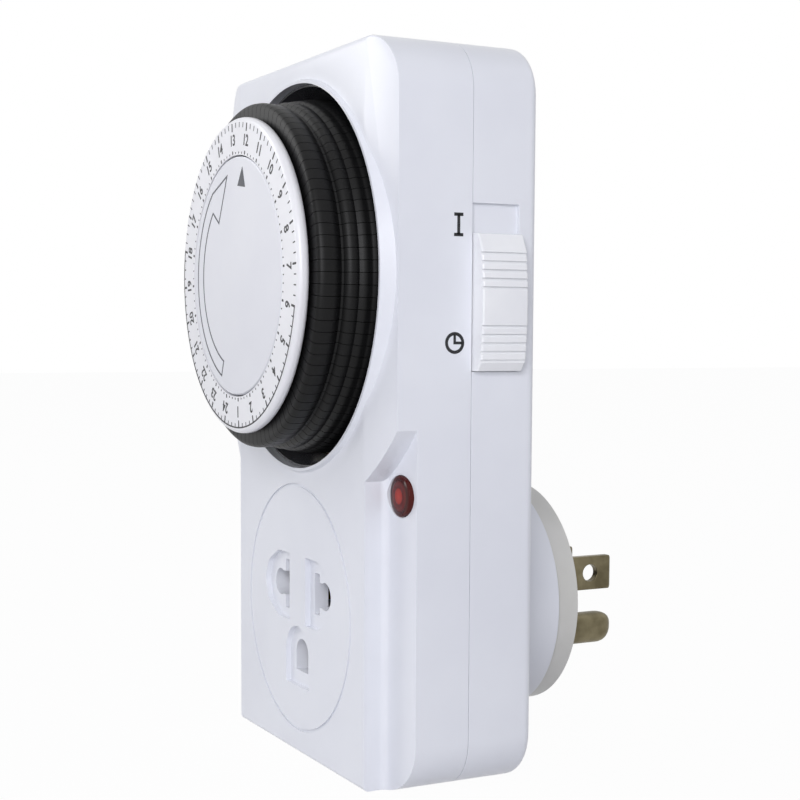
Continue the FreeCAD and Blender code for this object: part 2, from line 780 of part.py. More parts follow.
def train_centres():
    """Give the x and the height under the dial of the clutch, second, first and rotor arbors."""
    clutch_x = number("clutch_x")
    clutch_z = -math.sqrt(number(CLUTCH_DISTANCE) ** 2 - clutch_x ** 2)
    distance = number(TRAIN_DISTANCE)
    second_x = number("second_x")
    second_z = clutch_z + math.sqrt(distance ** 2 - (second_x - clutch_x) ** 2)
    first_x = number("first_x")
    first_z = second_z + math.sqrt(distance ** 2 - (first_x - second_x) ** 2)
    return [(clutch_x, clutch_z), (second_x, second_z), (first_x, first_z), (first_x, first_z + distance)]


def at_train(name, shape, index, depth):
    """Put a computed shape on one arbor of the train, at a depth behind the front face."""
    x, z = train_centres()[index]
    item = doc.addObject("Part::Feature", name)
    item.Shape = shape
    item.Placement.Base = FreeCAD.Vector(x, number(f"{FRONT} + {depth}"), number("dial_height") + z)
    return item


def gear_train():
    """The dial gear, the clutch pinion and wheel, and the two reduction wheels with their pinions."""
    teeth = int(number("wheel_teeth"))
    small = int(number("pinion_teeth"))
    dial_teeth = int(number("dial_gear_teeth"))
    clutch_teeth = int(number("clutch_pinion_teeth"))
    module = number("train_module")
    width = number("wheel_width")
    step = number("train_step")
    bore = number("arbor_radius + running_gap")
    centres = train_centres()
    links = [(centres[i + 1][0] - centres[i][0], centres[i + 1][1] - centres[i][1]) for i in range(3)]
    dial_gear = gear_shape(dial_teeth, number("dial_gear_module"), number("dial_gear_width"),
                           number("stem_radius + running_gap"))
    keep(made("dial_gear_form", dial_gear, y=f"{FRONT} + dial_gear_depth", z="dial_height"), "dial_gear")
    pinion_turn = turn_to_mesh(clutch_teeth, direction(*centres[0]), dial_teeth, 0)
    pinion = spun(gear_shape(clutch_teeth, number("dial_gear_module"), number("dial_gear_width"), bore),
                  pinion_turn)
    keep(at_train("clutch_pinion_form", pinion, 0, "dial_gear_depth"), "clutch_pinion")
    clutch_wheel = gear_shape(teeth, module, width, bore)
    keep(at_train("clutch_wheel_form", clutch_wheel, 0, "train_depth"), "clutch_wheel")
    turn = 0.0
    for index, label in ((1, "second_wheel"), (2, "first_wheel")):
        turn = turn_to_mesh(small, direction(*links[index - 1]), teeth, turn)
        depth = f"train_depth + {index} * train_step"
        wheel = gear_shape(teeth, module, width, bore)
        leaf = gear_shape(small, module, step, bore)
        leaf.translate(FreeCAD.Vector(0, -step, 0))
        keep(at_train(label + "_form", spun(wheel.fuse(leaf), turn), index, depth), label)
    return turn_to_mesh(small, direction(*links[2]), teeth, turn)


def at_rod(name, index, start, radius, length):
    """Put a pin on one arbor of the train."""
    x, z = train_centres()[index]
    shape = Part.makeCylinder(number(radius), number(length), FreeCAD.Vector(), FreeCAD.Vector(0, 1, 0))
    item = doc.addObject("Part::Feature", name)
    item.Shape = shape
    item.Placement.Base = FreeCAD.Vector(x, number(f"{FRONT} + {start}"), number("dial_height") + z)
    return item


def arbors():
    """The three steel pins that the clutch and the reduction wheels turn on."""
    rear = "plate_depth + plate_thickness"
    starts = ("dial_gear_depth - 0.4", "train_depth - 0.6", "train_depth + train_step - 0.6")
    pins = [at_rod(f"arbor_{index}", index, start, "arbor_radius", f"{rear} - ({start})")
            for index, start in enumerate(starts)]
    group = doc.addObject("Part::Compound", "arbor_group")
    group.Links = pins
    return keep(group, "gear_arbors")


def movement_plate():
    """The plate behind the train that carries the arbors, the stem and the lever's ears."""
    plate = middle_box("plate_form", "plate_shift", PLATE, "dial_height - plate_drop", "plate_width",
                       "plate_thickness", "plate_height")
    ear_start = "lever_front - fit_gap"
    ears = [box(f"plate_ear_{index}", x, f"{FRONT} + {ear_start}", "dial_height - pivot_drop - ear_height / 2",
                "ear_thickness", f"plate_depth - ({ear_start}) + joint_gap", "ear_height")
            for index, x in enumerate(("lever_x - lever_width / 2 - fit_gap - ear_thickness",
                                       "lever_x + lever_width / 2 + fit_gap"))]
    left = "plate_shift - plate_width / 2 + 2 * leg_radius"
    right = "plate_shift + plate_width / 2 - leg_radius"
    low = "dial_height - plate_drop - plate_height / 2 + 3 * leg_radius"
    high = "dial_height - plate_drop + plate_height / 2 - leg_radius"
    legs = [rod(f"plate_leg_{index}", x, PLATE_REAR, z, "leg_radius", f"{BACK} - case_wall - {PLATE_REAR}")
            for index, (x, z) in enumerate(((left, low), (left, high), (right, high)))]
    solid = join("plate_solid", [plate] + ears + legs)
    holes = [at_rod(f"plate_hole_{index}", index, "plate_depth - 1", "arbor_radius", "plate_thickness + 2")
             for index in range(3)]
    shaft_hole = at_rod("plate_shaft_hole", 3, "plate_depth - 1", "arbor_radius + 0.4", "plate_thickness + 2")
    stem_hole = rod("plate_stem_hole", "0", f"{PLATE} - 1", "dial_height", "stem_radius - 0.8",
                    "plate_thickness + 2")
    foot_hole = middle_box("plate_foot_hole", "lever_x", f"{PLATE} - 1", "dial_height - plunger_drop",
                           "lever_width + 1.6", "plate_thickness + 2", "5")
    pin_hole = rod("plate_pin_hole", "lever_x - 6", f"{FRONT} + lever_front + lever_thickness / 2",
                   "dial_height - pivot_drop", "lever_pin_radius", "12", "x")
    return keep(cut("plate_body", solid, holes + [shaft_hole, stem_hole, foot_hole, pin_hole]),
                "movement_plate")


def dial_stem():
    """The fixed stem that the dial turns on and the centre disc snaps into, with its collar."""
    rear = "plate_depth + plate_thickness"
    nose = "disc_thickness - dial_front + 0.8"
    collar = "dial_gear_depth + dial_gear_width"
    points = [
        ("0", nose),
        ("stem_radius - 1.2", nose),
        ("stem_radius - 1.2", f"{nose} + 3.2"),
        ("stem_radius", f"{nose} + 3.2"),
        ("stem_radius", f"{collar} + fit_gap"),
        ("hub_radius - 1", f"{collar} + fit_gap"),
        ("hub_radius - 1", "plate_depth"),
        ("stem_radius - 0.8", "plate_depth"),
        ("stem_radius - 0.8", rear),
        ("0", rear),
    ]
    return keep(turned("stem", points, z="dial_height"), "dial_stem")


def stem_washer():
    """The spring washer between the disc's boss and the carrier's hub."""
    front = "disc_thickness - dial_front + 4 + joint_gap"
    thickness = "segment_rear - drum_floor - 4 - joint_gap - (disc_thickness - dial_front + 4 + joint_gap)"
    washer = tube("washer_form", "0", f"{FRONT} + {front}", "dial_height", "disc_boss_radius",
                  "stem_radius + 0.1", thickness)
    return keep(washer, "stem_washer")


def motor(pinion_turn):
    """The synchronous motor: can, end plate, bobbin, winding and the rotor with its pinion."""
    start = "plate_depth + plate_thickness"
    sheet_wall = "motor_sheet"

    def ring(name, depth, length, outer, inner):
        """Make a ring about the rotor's axis."""
        hole = at_rod(name + "_bore", 3, depth, inner, length)
        return cut(name, at_rod(name + "_outer", 3, depth, outer, length), [hole])

    cup = at_rod("can_form", 3, start, "motor_radius", "motor_length")
    room = at_rod("can_room", 3, f"{start} + {sheet_wall}", f"motor_radius - {sheet_wall}",
                  f"motor_length - 2 * {sheet_wall}")
    nose_hole = at_rod("can_nose_hole", 3, f"{start} - 1", "arbor_radius + 0.4", f"{sheet_wall} + 2")
    tail_hole = at_rod("can_tail_hole", 3, f"{start} + motor_length - {sheet_wall} - 1",
                       "arbor_radius + running_gap", f"{sheet_wall} + 2")
    keep(cut("can_body", cup, [room, nose_hole, tail_hole]), "motor_can")
    inside = f"{start} + {sheet_wall} + joint_gap"
    length = f"motor_length - 2 * {sheet_wall} - 2 * joint_gap"
    core = ring("bobbin_core", inside, length, "bobbin_inner + bobbin_wall", "bobbin_inner")
    front_cheek = ring("bobbin_front", inside, "bobbin_wall", "motor_radius - motor_sheet - joint_gap",
                       "bobbin_inner")
    rear_cheek = ring("bobbin_rear", f"{inside} + {length} - bobbin_wall", "bobbin_wall",
                      "motor_radius - motor_sheet - joint_gap", "bobbin_inner")
    keep(join("bobbin_body", [core, front_cheek, rear_cheek]), "coil_bobbin")
    keep(ring("winding_body", f"{inside} + bobbin_wall + joint_gap",
              f"{length} - 2 * bobbin_wall - 2 * joint_gap", "winding_outer",
              "bobbin_inner + bobbin_wall + joint_gap"), "coil_winding")
    magnet = at_rod("rotor_magnet", 3, f"{inside} + 0.6", "rotor_radius", f"{length} - 1.2")
    shaft_start = "train_depth + 2 * train_step"
    shaft = at_rod("rotor_shaft", 3, shaft_start, "arbor_radius",
                   f"{start} + motor_length - ({shaft_start})")
    leaf = gear_shape(int(number("pinion_teeth")), number("train_module"), number("wheel_width"), 0.3)
    pinion = at_train("rotor_pinion", spun(leaf, pinion_turn), 3, "train_depth + 2 * train_step")
    return keep(join("rotor_body", [magnet, shaft, pinion]), "motor_rotor")


PLUNGER_TIP = "(plate_depth + plate_thickness + fit_gap - plunger_rise)"
SNAP_START = f"({PLATE_REAR} + fit_gap)"
SNAP_X = "(lever_x - snap_switch_length / 2 + 3.2)"
SNAP_Z = "(dial_height - plunger_drop)"
TERMINALS = ((-1, 2), (0, 0), (1, 1))


def trip_lever():
    """The lever that a pushed segment swings back to press the snap switch, and its pin."""
    front = f"{FRONT} + lever_front"
    pivot_z = "dial_height - pivot_drop"
    length = "pivot_drop - finger_drop + lever_width + 1.2"
    bar = middle_box("lever_bar", "lever_x", front, "dial_height - (finger_drop + pivot_drop) / 2",
                     "lever_width", "lever_thickness", length)
    finger_start = f"{FRONT} + segment_rear + finger_gap"
    finger = middle_box("lever_finger", "lever_x", finger_start, "dial_height - finger_drop", "lever_width",
                        "lever_front - segment_rear - finger_gap + joint_gap", "lever_width")
    foot = middle_box("lever_foot", "lever_x", front, f"{SNAP_Z}", "lever_width",
                      f"{PLUNGER_TIP} - 2 * joint_gap - lever_front", "lever_width + 0.5")
    hole = rod("lever_hole", "lever_x - lever_width", f"{front} + lever_thickness / 2", pivot_z,
               "lever_pin_radius + running_gap", "2 * lever_width", "x")
    keep(cut("lever_body", join("lever_solid", [bar, finger, foot]), [hole]), "trip_lever")
    reach = "(lever_width / 2 + fit_gap + ear_thickness)"
    pin = rod("lever_pin_form", f"lever_x - {reach}", f"{front} + lever_thickness / 2", pivot_z,
              "lever_pin_radius", f"2 * {reach}", "x")
    return keep(pin, "lever_pin")


def terminal_boxes(name, margin):
    """Make the three terminals, or with a margin the slots that they stand in."""
    thickness = f"(terminal_thickness + 2 * {margin})"
    return [middle_box(f"{name}_{index}", f"{SNAP_X} + {column} * terminal_pitch",
                       f"{SNAP_START} + 2.5 + {row} * terminal_step - {margin}",
                       f"{SNAP_Z} - snap_switch_height / 2 + 0.5", f"terminal_width + 2 * {margin}", thickness,
                       "terminal_pitch")
            for index, (column, row) in enumerate(TERMINALS)]


def snap_switch():
    """The snap switch under the lever: its case, plunger, spring blade and three terminals."""
    wall = "snap_switch_wall"
    block = middle_box("snap_case_form", SNAP_X, SNAP_START, SNAP_Z, "snap_switch_length", "snap_switch_depth",
                       "snap_switch_height")
    room = middle_box("snap_case_room", SNAP_X, f"{SNAP_START} + {wall}", SNAP_Z,
                      f"snap_switch_length - 2 * {wall}", f"snap_switch_depth - 2 * {wall}",
                      f"snap_switch_height - 2 * {wall}")
    neck = middle_box("snap_case_neck", "lever_x", f"{SNAP_START} - 1", SNAP_Z,
                      "plunger_width + 2 * running_gap", f"{wall} + 2", "plunger_width + 2 * running_gap")
    keep(cut("snap_case", block, [room, neck] + terminal_boxes("snap_slot", "0")), "snap_switch_case")
    stem = middle_box("plunger_form", "lever_x", f"{SNAP_START} - plunger_rise", SNAP_Z, "plunger_width",
                      f"plunger_rise + {wall} + 1", "plunger_width")
    head = middle_box("plunger_head", "lever_x", f"{SNAP_START} + {wall} + joint_gap", SNAP_Z,
                      "plunger_width + 1.4", "0.8", "plunger_width + 1.4")
    keep(join("plunger_body", [stem, head]), "switch_plunger")
    group = doc.addObject("Part::Compound", "snap_contact_group")
    group.Links = terminal_boxes("snap_terminal", "0")
    keep(group, "switch_terminals")
    blade_depth = f"{SNAP_START} + {wall} + 1.8"
    blade = middle_box("snap_blade", f"{SNAP_X} + 1", blade_depth, f"{SNAP_Z} + 2.6",
                       f"snap_switch_length - 2 * {wall} - 2.2", "0.3", "1.8")
    return keep(blade, "switch_spring_blade")


def knob():
    """The slide switch knob with its ribs, the stem through the wall and the runner behind it."""
    face = f"{HALF_WIDTH} - channel_depth + joint_gap"
    top = "knob_length"
    points = [
        (face, "0"),
        (f"{HALF_WIDTH} + knob_end_rise", "0"),
        (f"{HALF_WIDTH} + knob_shoulder", "knob_end_slope - 1"),
        (f"{HALF_WIDTH} + knob_rise", f"({top} - knob_flat) / 2"),
        (f"{HALF_WIDTH} + knob_rise", f"({top} + knob_flat) / 2"),
        (f"{HALF_WIDTH} + knob_shoulder", f"{top} - knob_end_slope"),
        (f"{HALF_WIDTH} + knob_end_rise", top),
        (face, top),
    ]
    middle_y = f"{PARTING} + 2 * joint_gap + knob_width / 2"
    cap = prism("knob_cap", "XZ_Plane", points, "knob_width", y=middle_y, z="knob_bottom")
    corner = number(f"{HALF_WIDTH} + knob_end_rise") - 0.01
    soften(cap, "0.35", lambda edge: middle(edge).x > corner)
    grooves = []
    for index in range(int(number("rib_count"))):
        upper = f"knob_bottom + {top} - knob_end_slope - 0.5 - {index} * rib_pitch"
        lower = f"knob_bottom + knob_end_slope - 1.1 + {index} * rib_pitch"
        for tag, height in (("upper", upper), ("lower", lower)):
            rise = f"(knob_rise - knob_shoulder) * min(1; ({index} + 0.4) / (rib_count - 0.5))"
            start = f"{HALF_WIDTH} + knob_shoulder + {rise} - rib_depth"
            grooves.append(box(f"rib_groove_{tag}_{index}", start, f"{PARTING} - 1", f"{height} - 0.25", "4",
                               "knob_width + 3", "0.5"))
    ribbed = cut("knob_ribbed", cap, grooves)
    stem_bottom = "knob_bottom + (knob_length - knob_stem_length) / 2"
    stem = box("knob_stem", f"{HALF_WIDTH} - case_wall - joint_gap", f"{middle_y} - knob_stem_width / 2",
               stem_bottom, "case_wall - channel_depth + 3 * joint_gap", "knob_stem_width", "knob_stem_length")
    runner = box("knob_runner", f"{HALF_WIDTH} - case_wall - joint_gap - runner_thickness",
                 f"{middle_y} - knob_width / 2", f"{stem_bottom} - runner_margin", "runner_thickness",
                 "knob_width", "knob_stem_length + 2 * runner_margin")
    return keep(join("knob_body", [ribbed, stem, runner]), "switch_knob")


def plug_insert():
    """The greyer disc in the boss that the blades and the pin stand in."""
    disc = rod("insert_form", "0", INSERT_FRONT, "0", "insert_radius", "insert_seat + insert_rise")
    slots = [middle_box(f"insert_slot_{index}", f"{side} * blade_spacing / 2", f"{INSERT_FRONT} - 1",
                        "line_height", "blade_thickness", "insert_seat + insert_rise + 2", "blade_width")
             for index, side in enumerate(("-1", "1"))]
    pin_slot = arch("insert_pin_slot", f"{INSERT_FRONT} - 1", "insert_seat + insert_rise + 2", "2 * pin_radius",
                    "pin_height", f"({GROUND_HEIGHT} - pin_height / 2)")
    return keep(cut("insert_body", disc, slots + [pin_slot]), "plug_insert")


def blade(side):
    """A flat plug blade with its hole and tapered tip."""
    tag = "neutral" if side == "-1" else "live"
    start = f"{INSERT_FRONT} - blade_root"
    length = f"blade_root + insert_seat + insert_rise + blade_reach"
    strip = middle_box(tag + "_blade_form", f"{side} * blade_spacing / 2", start, "line_height",
                       "blade_thickness", length, "blade_width")
    hole = rod(tag + "_blade_hole", f"{side} * blade_spacing / 2 - 3", "blade_hole_reach", "line_height",
               "blade_hole_radius", "6", "x")
    trimmed = doc.addObject("Part::Chamfer", tag + "_blade_tip")
    trimmed.Base = strip
    doc.recompute()
    tip = number("blade_reach")
    size = number("blade_thickness / 3")
    trimmed.Edges = [(index, size, size) for index, edge in enumerate(strip.Shape.Edges, start=1)
                     if abs(middle(edge).y - tip) < 0.01]
    return keep(cut(tag + "_blade_body", trimmed, [hole]), tag + "_blade")


def ground_pin():
    """The ground pin, arched on top, with a nose that rises from below."""
    start = f"{INSERT_FRONT} - blade_root"
    length = "(blade_root + insert_seat + insert_rise + pin_reach)"
    bottom = f"({GROUND_HEIGHT} - pin_height / 2)"
    pin = arch("pin_form", start, length, "2 * pin_radius", "pin_height", bottom)
    points = [
        ("pin_reach - pin_nose * 1.6", f"{bottom} - 1"),
        ("pin_reach + 1", f"{bottom} - 1"),
        ("pin_reach + 1", f"{bottom} + pin_height * 0.62"),
        ("pin_reach", f"{bottom} + pin_height * 0.42"),
        ("pin_reach - pin_nose * 1.6", bottom),
    ]
    nose_low = prism("pin_nose_low", "YZ_Plane", points, "4 * pin_radius")
    high_points = [
        ("pin_reach - pin_nose", f"{bottom} + pin_height"),
        ("pin_reach", f"{bottom} + pin_height * 0.78"),
        ("pin_reach + 1", f"{bottom} + pin_height + 1"),
        ("pin_reach - pin_nose", f"{bottom} + pin_height + 1"),
    ]
    nose_high = prism("pin_nose_high", "YZ_Plane", high_points, "4 * pin_radius")
    return keep(cut("pin_body", pin, [nose_low, nose_high]), "ground_pin")


WEB_END = f"({FRONT} + contact_depth + contact_length)"
CARRIER_REAR = f"({WEB_END} + joint_gap + carrier_thickness)"
BLADE_START = f"({INSERT_FRONT} - blade_root)"
STRAP_X = "(blade_spacing / 2 - blade_thickness / 2 - strap_thickness)"
TERMINAL_TOP = f"({SNAP_Z} - snap_switch_height / 2 - 2 * joint_gap)"


def leaf_pair(tag, side):
    """Make the two spring leaves that grip a blade and the web that joins them."""
    centre = f"{side} * blade_spacing / 2"
    leaves = [middle_box(f"{tag}_leaf_{index}", f"{centre} + {sign} * (contact_gap + contact_sheet) / 2",
                         f"{FRONT} + contact_depth", "line_height", "contact_sheet", "contact_length",
                         "contact_height")
              for index, sign in enumerate(("-1", "1"))]
    web = middle_box(f"{tag}_web", centre, f"{WEB_END} - contact_web", "line_height",
                     "contact_gap + 2 * contact_sheet", "contact_web", "contact_height")
    return leaves + [web]


def neutral_contact():
    """The neutral contact and its strap straight back to the neutral blade."""
    strap = box("neutral_strap", f"-{STRAP_X} - strap_thickness", f"{WEB_END} - contact_web",
                "line_height - strap_width / 2", "strap_thickness",
                f"{BLADE_START} + blade_root - 1 - ({WEB_END} - contact_web)", "strap_width")
    return keep(join("neutral_contact_body", leaf_pair("neutral", "-1") + [strap]), "neutral_contact")


def live_contact():
    """The live contact and its strap up to the snap switch's middle terminal."""
    riser = middle_box("live_riser", "blade_spacing / 2", f"{WEB_END} - contact_web",
                       f"(line_height + {TERMINAL_TOP}) / 2", "strap_width / 2", "contact_web",
                       f"{TERMINAL_TOP} - line_height")
    run = box("live_run", "blade_spacing / 2 - strap_width / 4", f"{WEB_END} - contact_web",
              f"{TERMINAL_TOP} - strap_width / 2", f"{SNAP_X} - blade_spacing / 2 + strap_width / 4 + 2",
              f"{SNAP_START} + 2.5 - {WEB_END} + contact_web", "strap_width / 2")
    return keep(join("live_contact_body", leaf_pair("live", "1") + [riser, run]), "live_contact")


def live_strap():
    """The strap from the live blade to the snap switch's first terminal."""
    depth = f"({SNAP_START} + 2.5 + 2 * terminal_step - strap_thickness)"
    column = f"({SNAP_X} - terminal_pitch)"
    back = box("live_strap_back", STRAP_X, depth, "line_height - strap_width / 2", "strap_thickness",
               f"{BLADE_START} + blade_root - 1 - {depth}", "strap_width")
    across = box("live_strap_across", STRAP_X, depth, "line_height - strap_width / 2",
                 f"{column} + terminal_width / 2 - {STRAP_X}", "strap_thickness", "strap_width")
    riser = middle_box("live_strap_riser", column, depth, f"(line_height - strap_width / 2 + {TERMINAL_TOP}) / 2",
                       "terminal_width", "strap_thickness", f"{TERMINAL_TOP} - line_height + strap_width / 2")
    return keep(join("live_strap_body", [back, across, riser]), "live_strap")


def ground_contact():
    """The ground contact sleeve and its strap back to the ground pin."""
    outer = arch("ground_sleeve_outer", f"{FRONT} + contact_depth", "contact_length",
                 "(2 * pin_radius + 0.4 + 2 * contact_sheet)", "(pin_height + 0.4 + 2 * contact_sheet)",
                 f"({GROUND_HEIGHT} - pin_height / 2 - 0.2 - contact_sheet)")
    inner = arch("ground_sleeve_inner", f"{FRONT} + contact_depth - 1", "contact_length + 1 - contact_web",
                 "(2 * pin_radius + 0.4)", "(pin_height + 0.4)", f"({GROUND_HEIGHT} - pin_height / 2 - 0.2)")
    sleeve = cut("ground_sleeve", outer, [inner])
    strap = middle_box("ground_strap", "0", f"{WEB_END} - contact_web",
                       f"{GROUND_HEIGHT} - pin_height / 2 - strap_thickness / 2", "strap_width - 1",
                       f"{BLADE_START} + blade_root - 1 - ({WEB_END} - contact_web)", "strap_thickness")
    return keep(join("ground_contact_body", [sleeve, strap]), "ground_contact")


def contact_carrier():
    """The insulating plate behind the contacts, on legs from the rear wall."""
    start = f"{WEB_END} + joint_gap"
    plate = middle_box("carrier_form", "0", start, "-contact_height / 2", "carrier_width", "carrier_thickness",
                       "carrier_height")
    leg_x = "(boss_radius + leg_radius + fit_gap)"
    legs = [rod(f"carrier_leg_{index}", x, CARRIER_REAR, "-contact_height / 2", "leg_radius",
                f"{BACK} - case_wall - {CARRIER_REAR}")
            for index, x in enumerate((f"-{leg_x}", leg_x))]
    neutral_slot = middle_box("carrier_neutral_slot", f"-{STRAP_X} - strap_thickness / 2", f"{start} - 1",
                              "line_height", "strap_thickness + fit_gap", "carrier_thickness + 2",
                              "strap_width + fit_gap")
    ground_slot = middle_box("carrier_ground_slot", "0", f"{start} - 1",
                             f"{GROUND_HEIGHT} - pin_height / 2 - strap_thickness / 2", "strap_width",
                             "carrier_thickness + 2", "strap_thickness + fit_gap")
    return keep(cut("carrier_solid", join("carrier_blank", [plate] + legs), [neutral_slot, ground_slot]),
                "contact_carrier")


def lamp():
    """The red lens on the stepped side, the neon lamp behind it and its resistor."""
    front = "recess_inner_depth + 0.1"
    rear = "recess_outer_depth + case_wall + 0.4"
    points = [
        ("0", front),
        ("lens_radius - 0.9", front),
        ("lens_radius - 0.25", f"{front} + 0.35"),
        ("lens_radius", f"{front} + 0.9"),
        ("lens_radius", rear),
        ("0", rear),
    ]
    keep(turned("lens", points, x="lens_x", z="lens_height"), "lamp_lens")
    bulb_start = f"{FRONT} + {rear} + fit_gap"
    bulb = rod("bulb_form", "lens_x - 0.3", bulb_start, "lens_height", "lamp_radius",
               f"plate_depth - ({rear}) - 2 * fit_gap")
    keep(bulb, "neon_lamp")
    resistor = rod("resistor_form", "lens_x - 0.3", f"{PLATE} - fit_gap / 2", "lens_height", "1.1",
                   "terminal_pitch")
    return keep(resistor, "lamp_resistor")


def build():
    """Make every sub-part in turn."""
    front_cover()
    rear_cover()
    case_screws()
    plug_insert()
    blade("-1")
    blade("1")
    ground_pin()
    neutral_contact()
    live_contact()
    live_strap()
    ground_contact()
    contact_carrier()
    well_liner()
    dial_ring()
    centre_disc()
    segment_carrier()
    switching_segments()
    pinion_turn = gear_train()
    arbors()
    movement_plate()
    dial_stem()
    stem_washer()
    motor(pinion_turn)
    trip_lever()
    snap_switch()
    knob()
    lamp()


def write_files():
    """Check every object and write each sub-part to its own file."""
    doc.recompute()
    failed = [item.Name for item in doc.Objects if "Invalid" in item.State or "Error" in item.State]
    if failed:
        raise RuntimeError(f"these objects failed: {failed}")
    os.makedirs("parts", exist_ok=True)
    for item in parts:
        if item.Shape.isNull() or not item.Shape.isValid():
            raise RuntimeError(f"{item.Label} has no valid shape")
    for item in parts:
        item.Shape.exportStep(f"parts/{item.Label}.step")
        print(item.Label, len(item.Shape.Solids), round(item.Shape.Volume, 1))


build()
write_files()
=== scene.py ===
"""Looks of a plug in timer switch: finishes, printed marks, softened mouldings and a studio stage."""
import math

import bmesh
import bpy
import numpy as np
from mathutils import Matrix, Vector


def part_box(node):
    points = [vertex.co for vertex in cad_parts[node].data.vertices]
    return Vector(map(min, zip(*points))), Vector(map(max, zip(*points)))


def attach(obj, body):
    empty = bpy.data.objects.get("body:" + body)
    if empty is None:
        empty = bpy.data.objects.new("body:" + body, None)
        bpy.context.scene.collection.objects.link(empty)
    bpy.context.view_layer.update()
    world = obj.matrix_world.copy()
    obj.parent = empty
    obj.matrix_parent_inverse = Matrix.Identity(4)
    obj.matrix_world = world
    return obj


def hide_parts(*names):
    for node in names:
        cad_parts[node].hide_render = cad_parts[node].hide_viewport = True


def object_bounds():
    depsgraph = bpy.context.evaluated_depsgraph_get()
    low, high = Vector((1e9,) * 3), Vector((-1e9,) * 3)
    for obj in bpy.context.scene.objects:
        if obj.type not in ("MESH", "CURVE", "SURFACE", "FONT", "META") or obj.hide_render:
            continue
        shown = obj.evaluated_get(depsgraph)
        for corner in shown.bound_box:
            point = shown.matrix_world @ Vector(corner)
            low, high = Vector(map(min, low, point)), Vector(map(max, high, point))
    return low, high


bl_info = {
    "name": "Plug In Timer Switch",
    "version": (1, 0, 0),
    "blender": (4, 5, 0),
    "location": "View3D > Sidebar > Timer",
    "description": "Dresses the packed timer switch and sets its stage",
    "category": "Object",
}

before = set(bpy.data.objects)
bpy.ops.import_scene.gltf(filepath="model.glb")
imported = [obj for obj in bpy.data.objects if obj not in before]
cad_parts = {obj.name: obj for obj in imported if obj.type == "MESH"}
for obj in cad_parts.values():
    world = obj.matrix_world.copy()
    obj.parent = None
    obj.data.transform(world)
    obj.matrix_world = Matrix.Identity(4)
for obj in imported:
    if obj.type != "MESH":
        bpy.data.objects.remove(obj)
CAD_BOX = [list(corner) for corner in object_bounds()]
MM = 0.001
HOURS = 24
QUARTERS = 4
FRAME_PIXELS = 800
SENSOR_MILLIMETRES = 36

# Angles past which an edge stays sharp
MOULDED_CREASE = math.radians(28)
SEGMENT_CREASE = math.radians(42)
LENS_CREASE = math.radians(40)
PIN_CREASE = math.radians(50)


# Places read from the frame

def centre_of(node):
    """Middle of a node's box, as x, y and z in metres."""
    low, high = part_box(node)
    return (Vector(low) + Vector(high)) / 2


def front_of(node):
    """Frontmost y of a node."""
    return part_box(node)[0][1]


def side_of(node):
    """Rightmost x of a node."""
    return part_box(node)[1][0]


DIAL = centre_of("dial_ring")
DIAL_FACE = front_of("dial_ring")
DISC_FACE = front_of("centre_disc")
SIDE_FACE = side_of("rear_cover")
LENS = centre_of("lamp_lens")
LENS_RADIUS = side_of("lamp_lens") - LENS.x


# Settings that a user would change

def length(name, description, millimetres):
    """A length property given in millimetres and held in metres."""
    return bpy.props.FloatProperty(name=name, description=description, default=millimetres * MM,
                                   unit="LENGTH", precision=5)


def count(name, description, number):
    """A whole number property."""
    return bpy.props.IntProperty(name=name, description=description, default=number)


def angle(name, description, degrees):
    """An angle property given in degrees and held in radians."""
    return bpy.props.FloatProperty(name=name, description=description, default=math.radians(degrees),
                                   subtype="ANGLE")


class TimerPrintSettings(bpy.types.PropertyGroup):
    """Sizes and places of the marks printed on the dial, the centre disc and the side."""
    ink_height: length("Ink height", "How far the ink stands off the plastic", 0.03)
    ink_root: length("Ink root", "How far the ink's back lies inside the plastic", 0.05)
    digit_height: length("Digit height", "Height of the dial's digits", 1.9)
    digit_weight: bpy.props.FloatProperty(name="Digit weight", description="How far a digit's strokes swell",
                                          default=0.02)
    digit_width: bpy.props.FloatProperty(name="Digit width", description="Width beside the typeface's own",
                                         default=0.94)
    digit_radius: length("Digit radius", "Distance of the digits from the dial's centre", 22.95)
    first_digit: angle("First digit", "Clockwise place of number 12 from straight up", 12.6)
    first_tick: angle("First tick", "Clockwise place of the tick at 12 from straight up", 12.0)
    tick_end: length("Tick end", "Radius at which the outer ticks end", 25.75)
    hour_tick: length("Hour tick", "Length of an hour's outer tick", 1.35)
    quarter_tick: length("Quarter tick", "Length of a quarter hour's outer tick", 0.85)
    hour_stroke: length("Hour stroke", "Width of an hour's tick", 0.36)
    quarter_stroke: length("Quarter stroke", "Width of a quarter hour's tick", 0.2)
    inner_start: length("Inner start", "Radius at which the inner ticks start", 20.55)
    inner_hour: length("Inner hour", "Length of an hour's inner tick", 0.6)
    inner_quarter: length("Inner quarter", "Length of a quarter hour's inner tick", 0.34)
    night_radius: length("Night radius", "Radius of the line from 18 through 24 to 6", 25.62)
    night_stroke: length("Night stroke", "Width of that line", 0.24)
    arrow_inner: length("Arrow inner", "Inner radius of the turning arrow's tail", 15.5)
    arrow_outer: length("Arrow outer", "Outer radius of the turning arrow's tail", 18.2)
    arrow_stroke: length("Arrow stroke", "Width of the arrow's outline", 0.3)
    mark_stroke: length("Mark stroke", "Width of the strokes of the side's marks", 0.52)
    letter_tall: length("Letter tall", "Half the height of the always on mark", 1.84)
    letter_wide: length("Letter wide", "Half the width of the always on mark", 0.82)
    letter_along: length("Letter along", "Place of the always on mark from front to back", -33.28)
    letter_rise: length("Letter rise", "Height of the middle of the always on mark", 65.2)
    clock_radius: length("Clock radius", "Outer radius of the clock mark", 1.72)
    clock_hand: length("Clock hand", "Length of the clock mark's hands", 1.35)
    clock_along: length("Clock along", "Place of the clock mark from front to back", -33.85)
    clock_rise: length("Clock rise", "Height of the middle of the clock mark", 46.7)


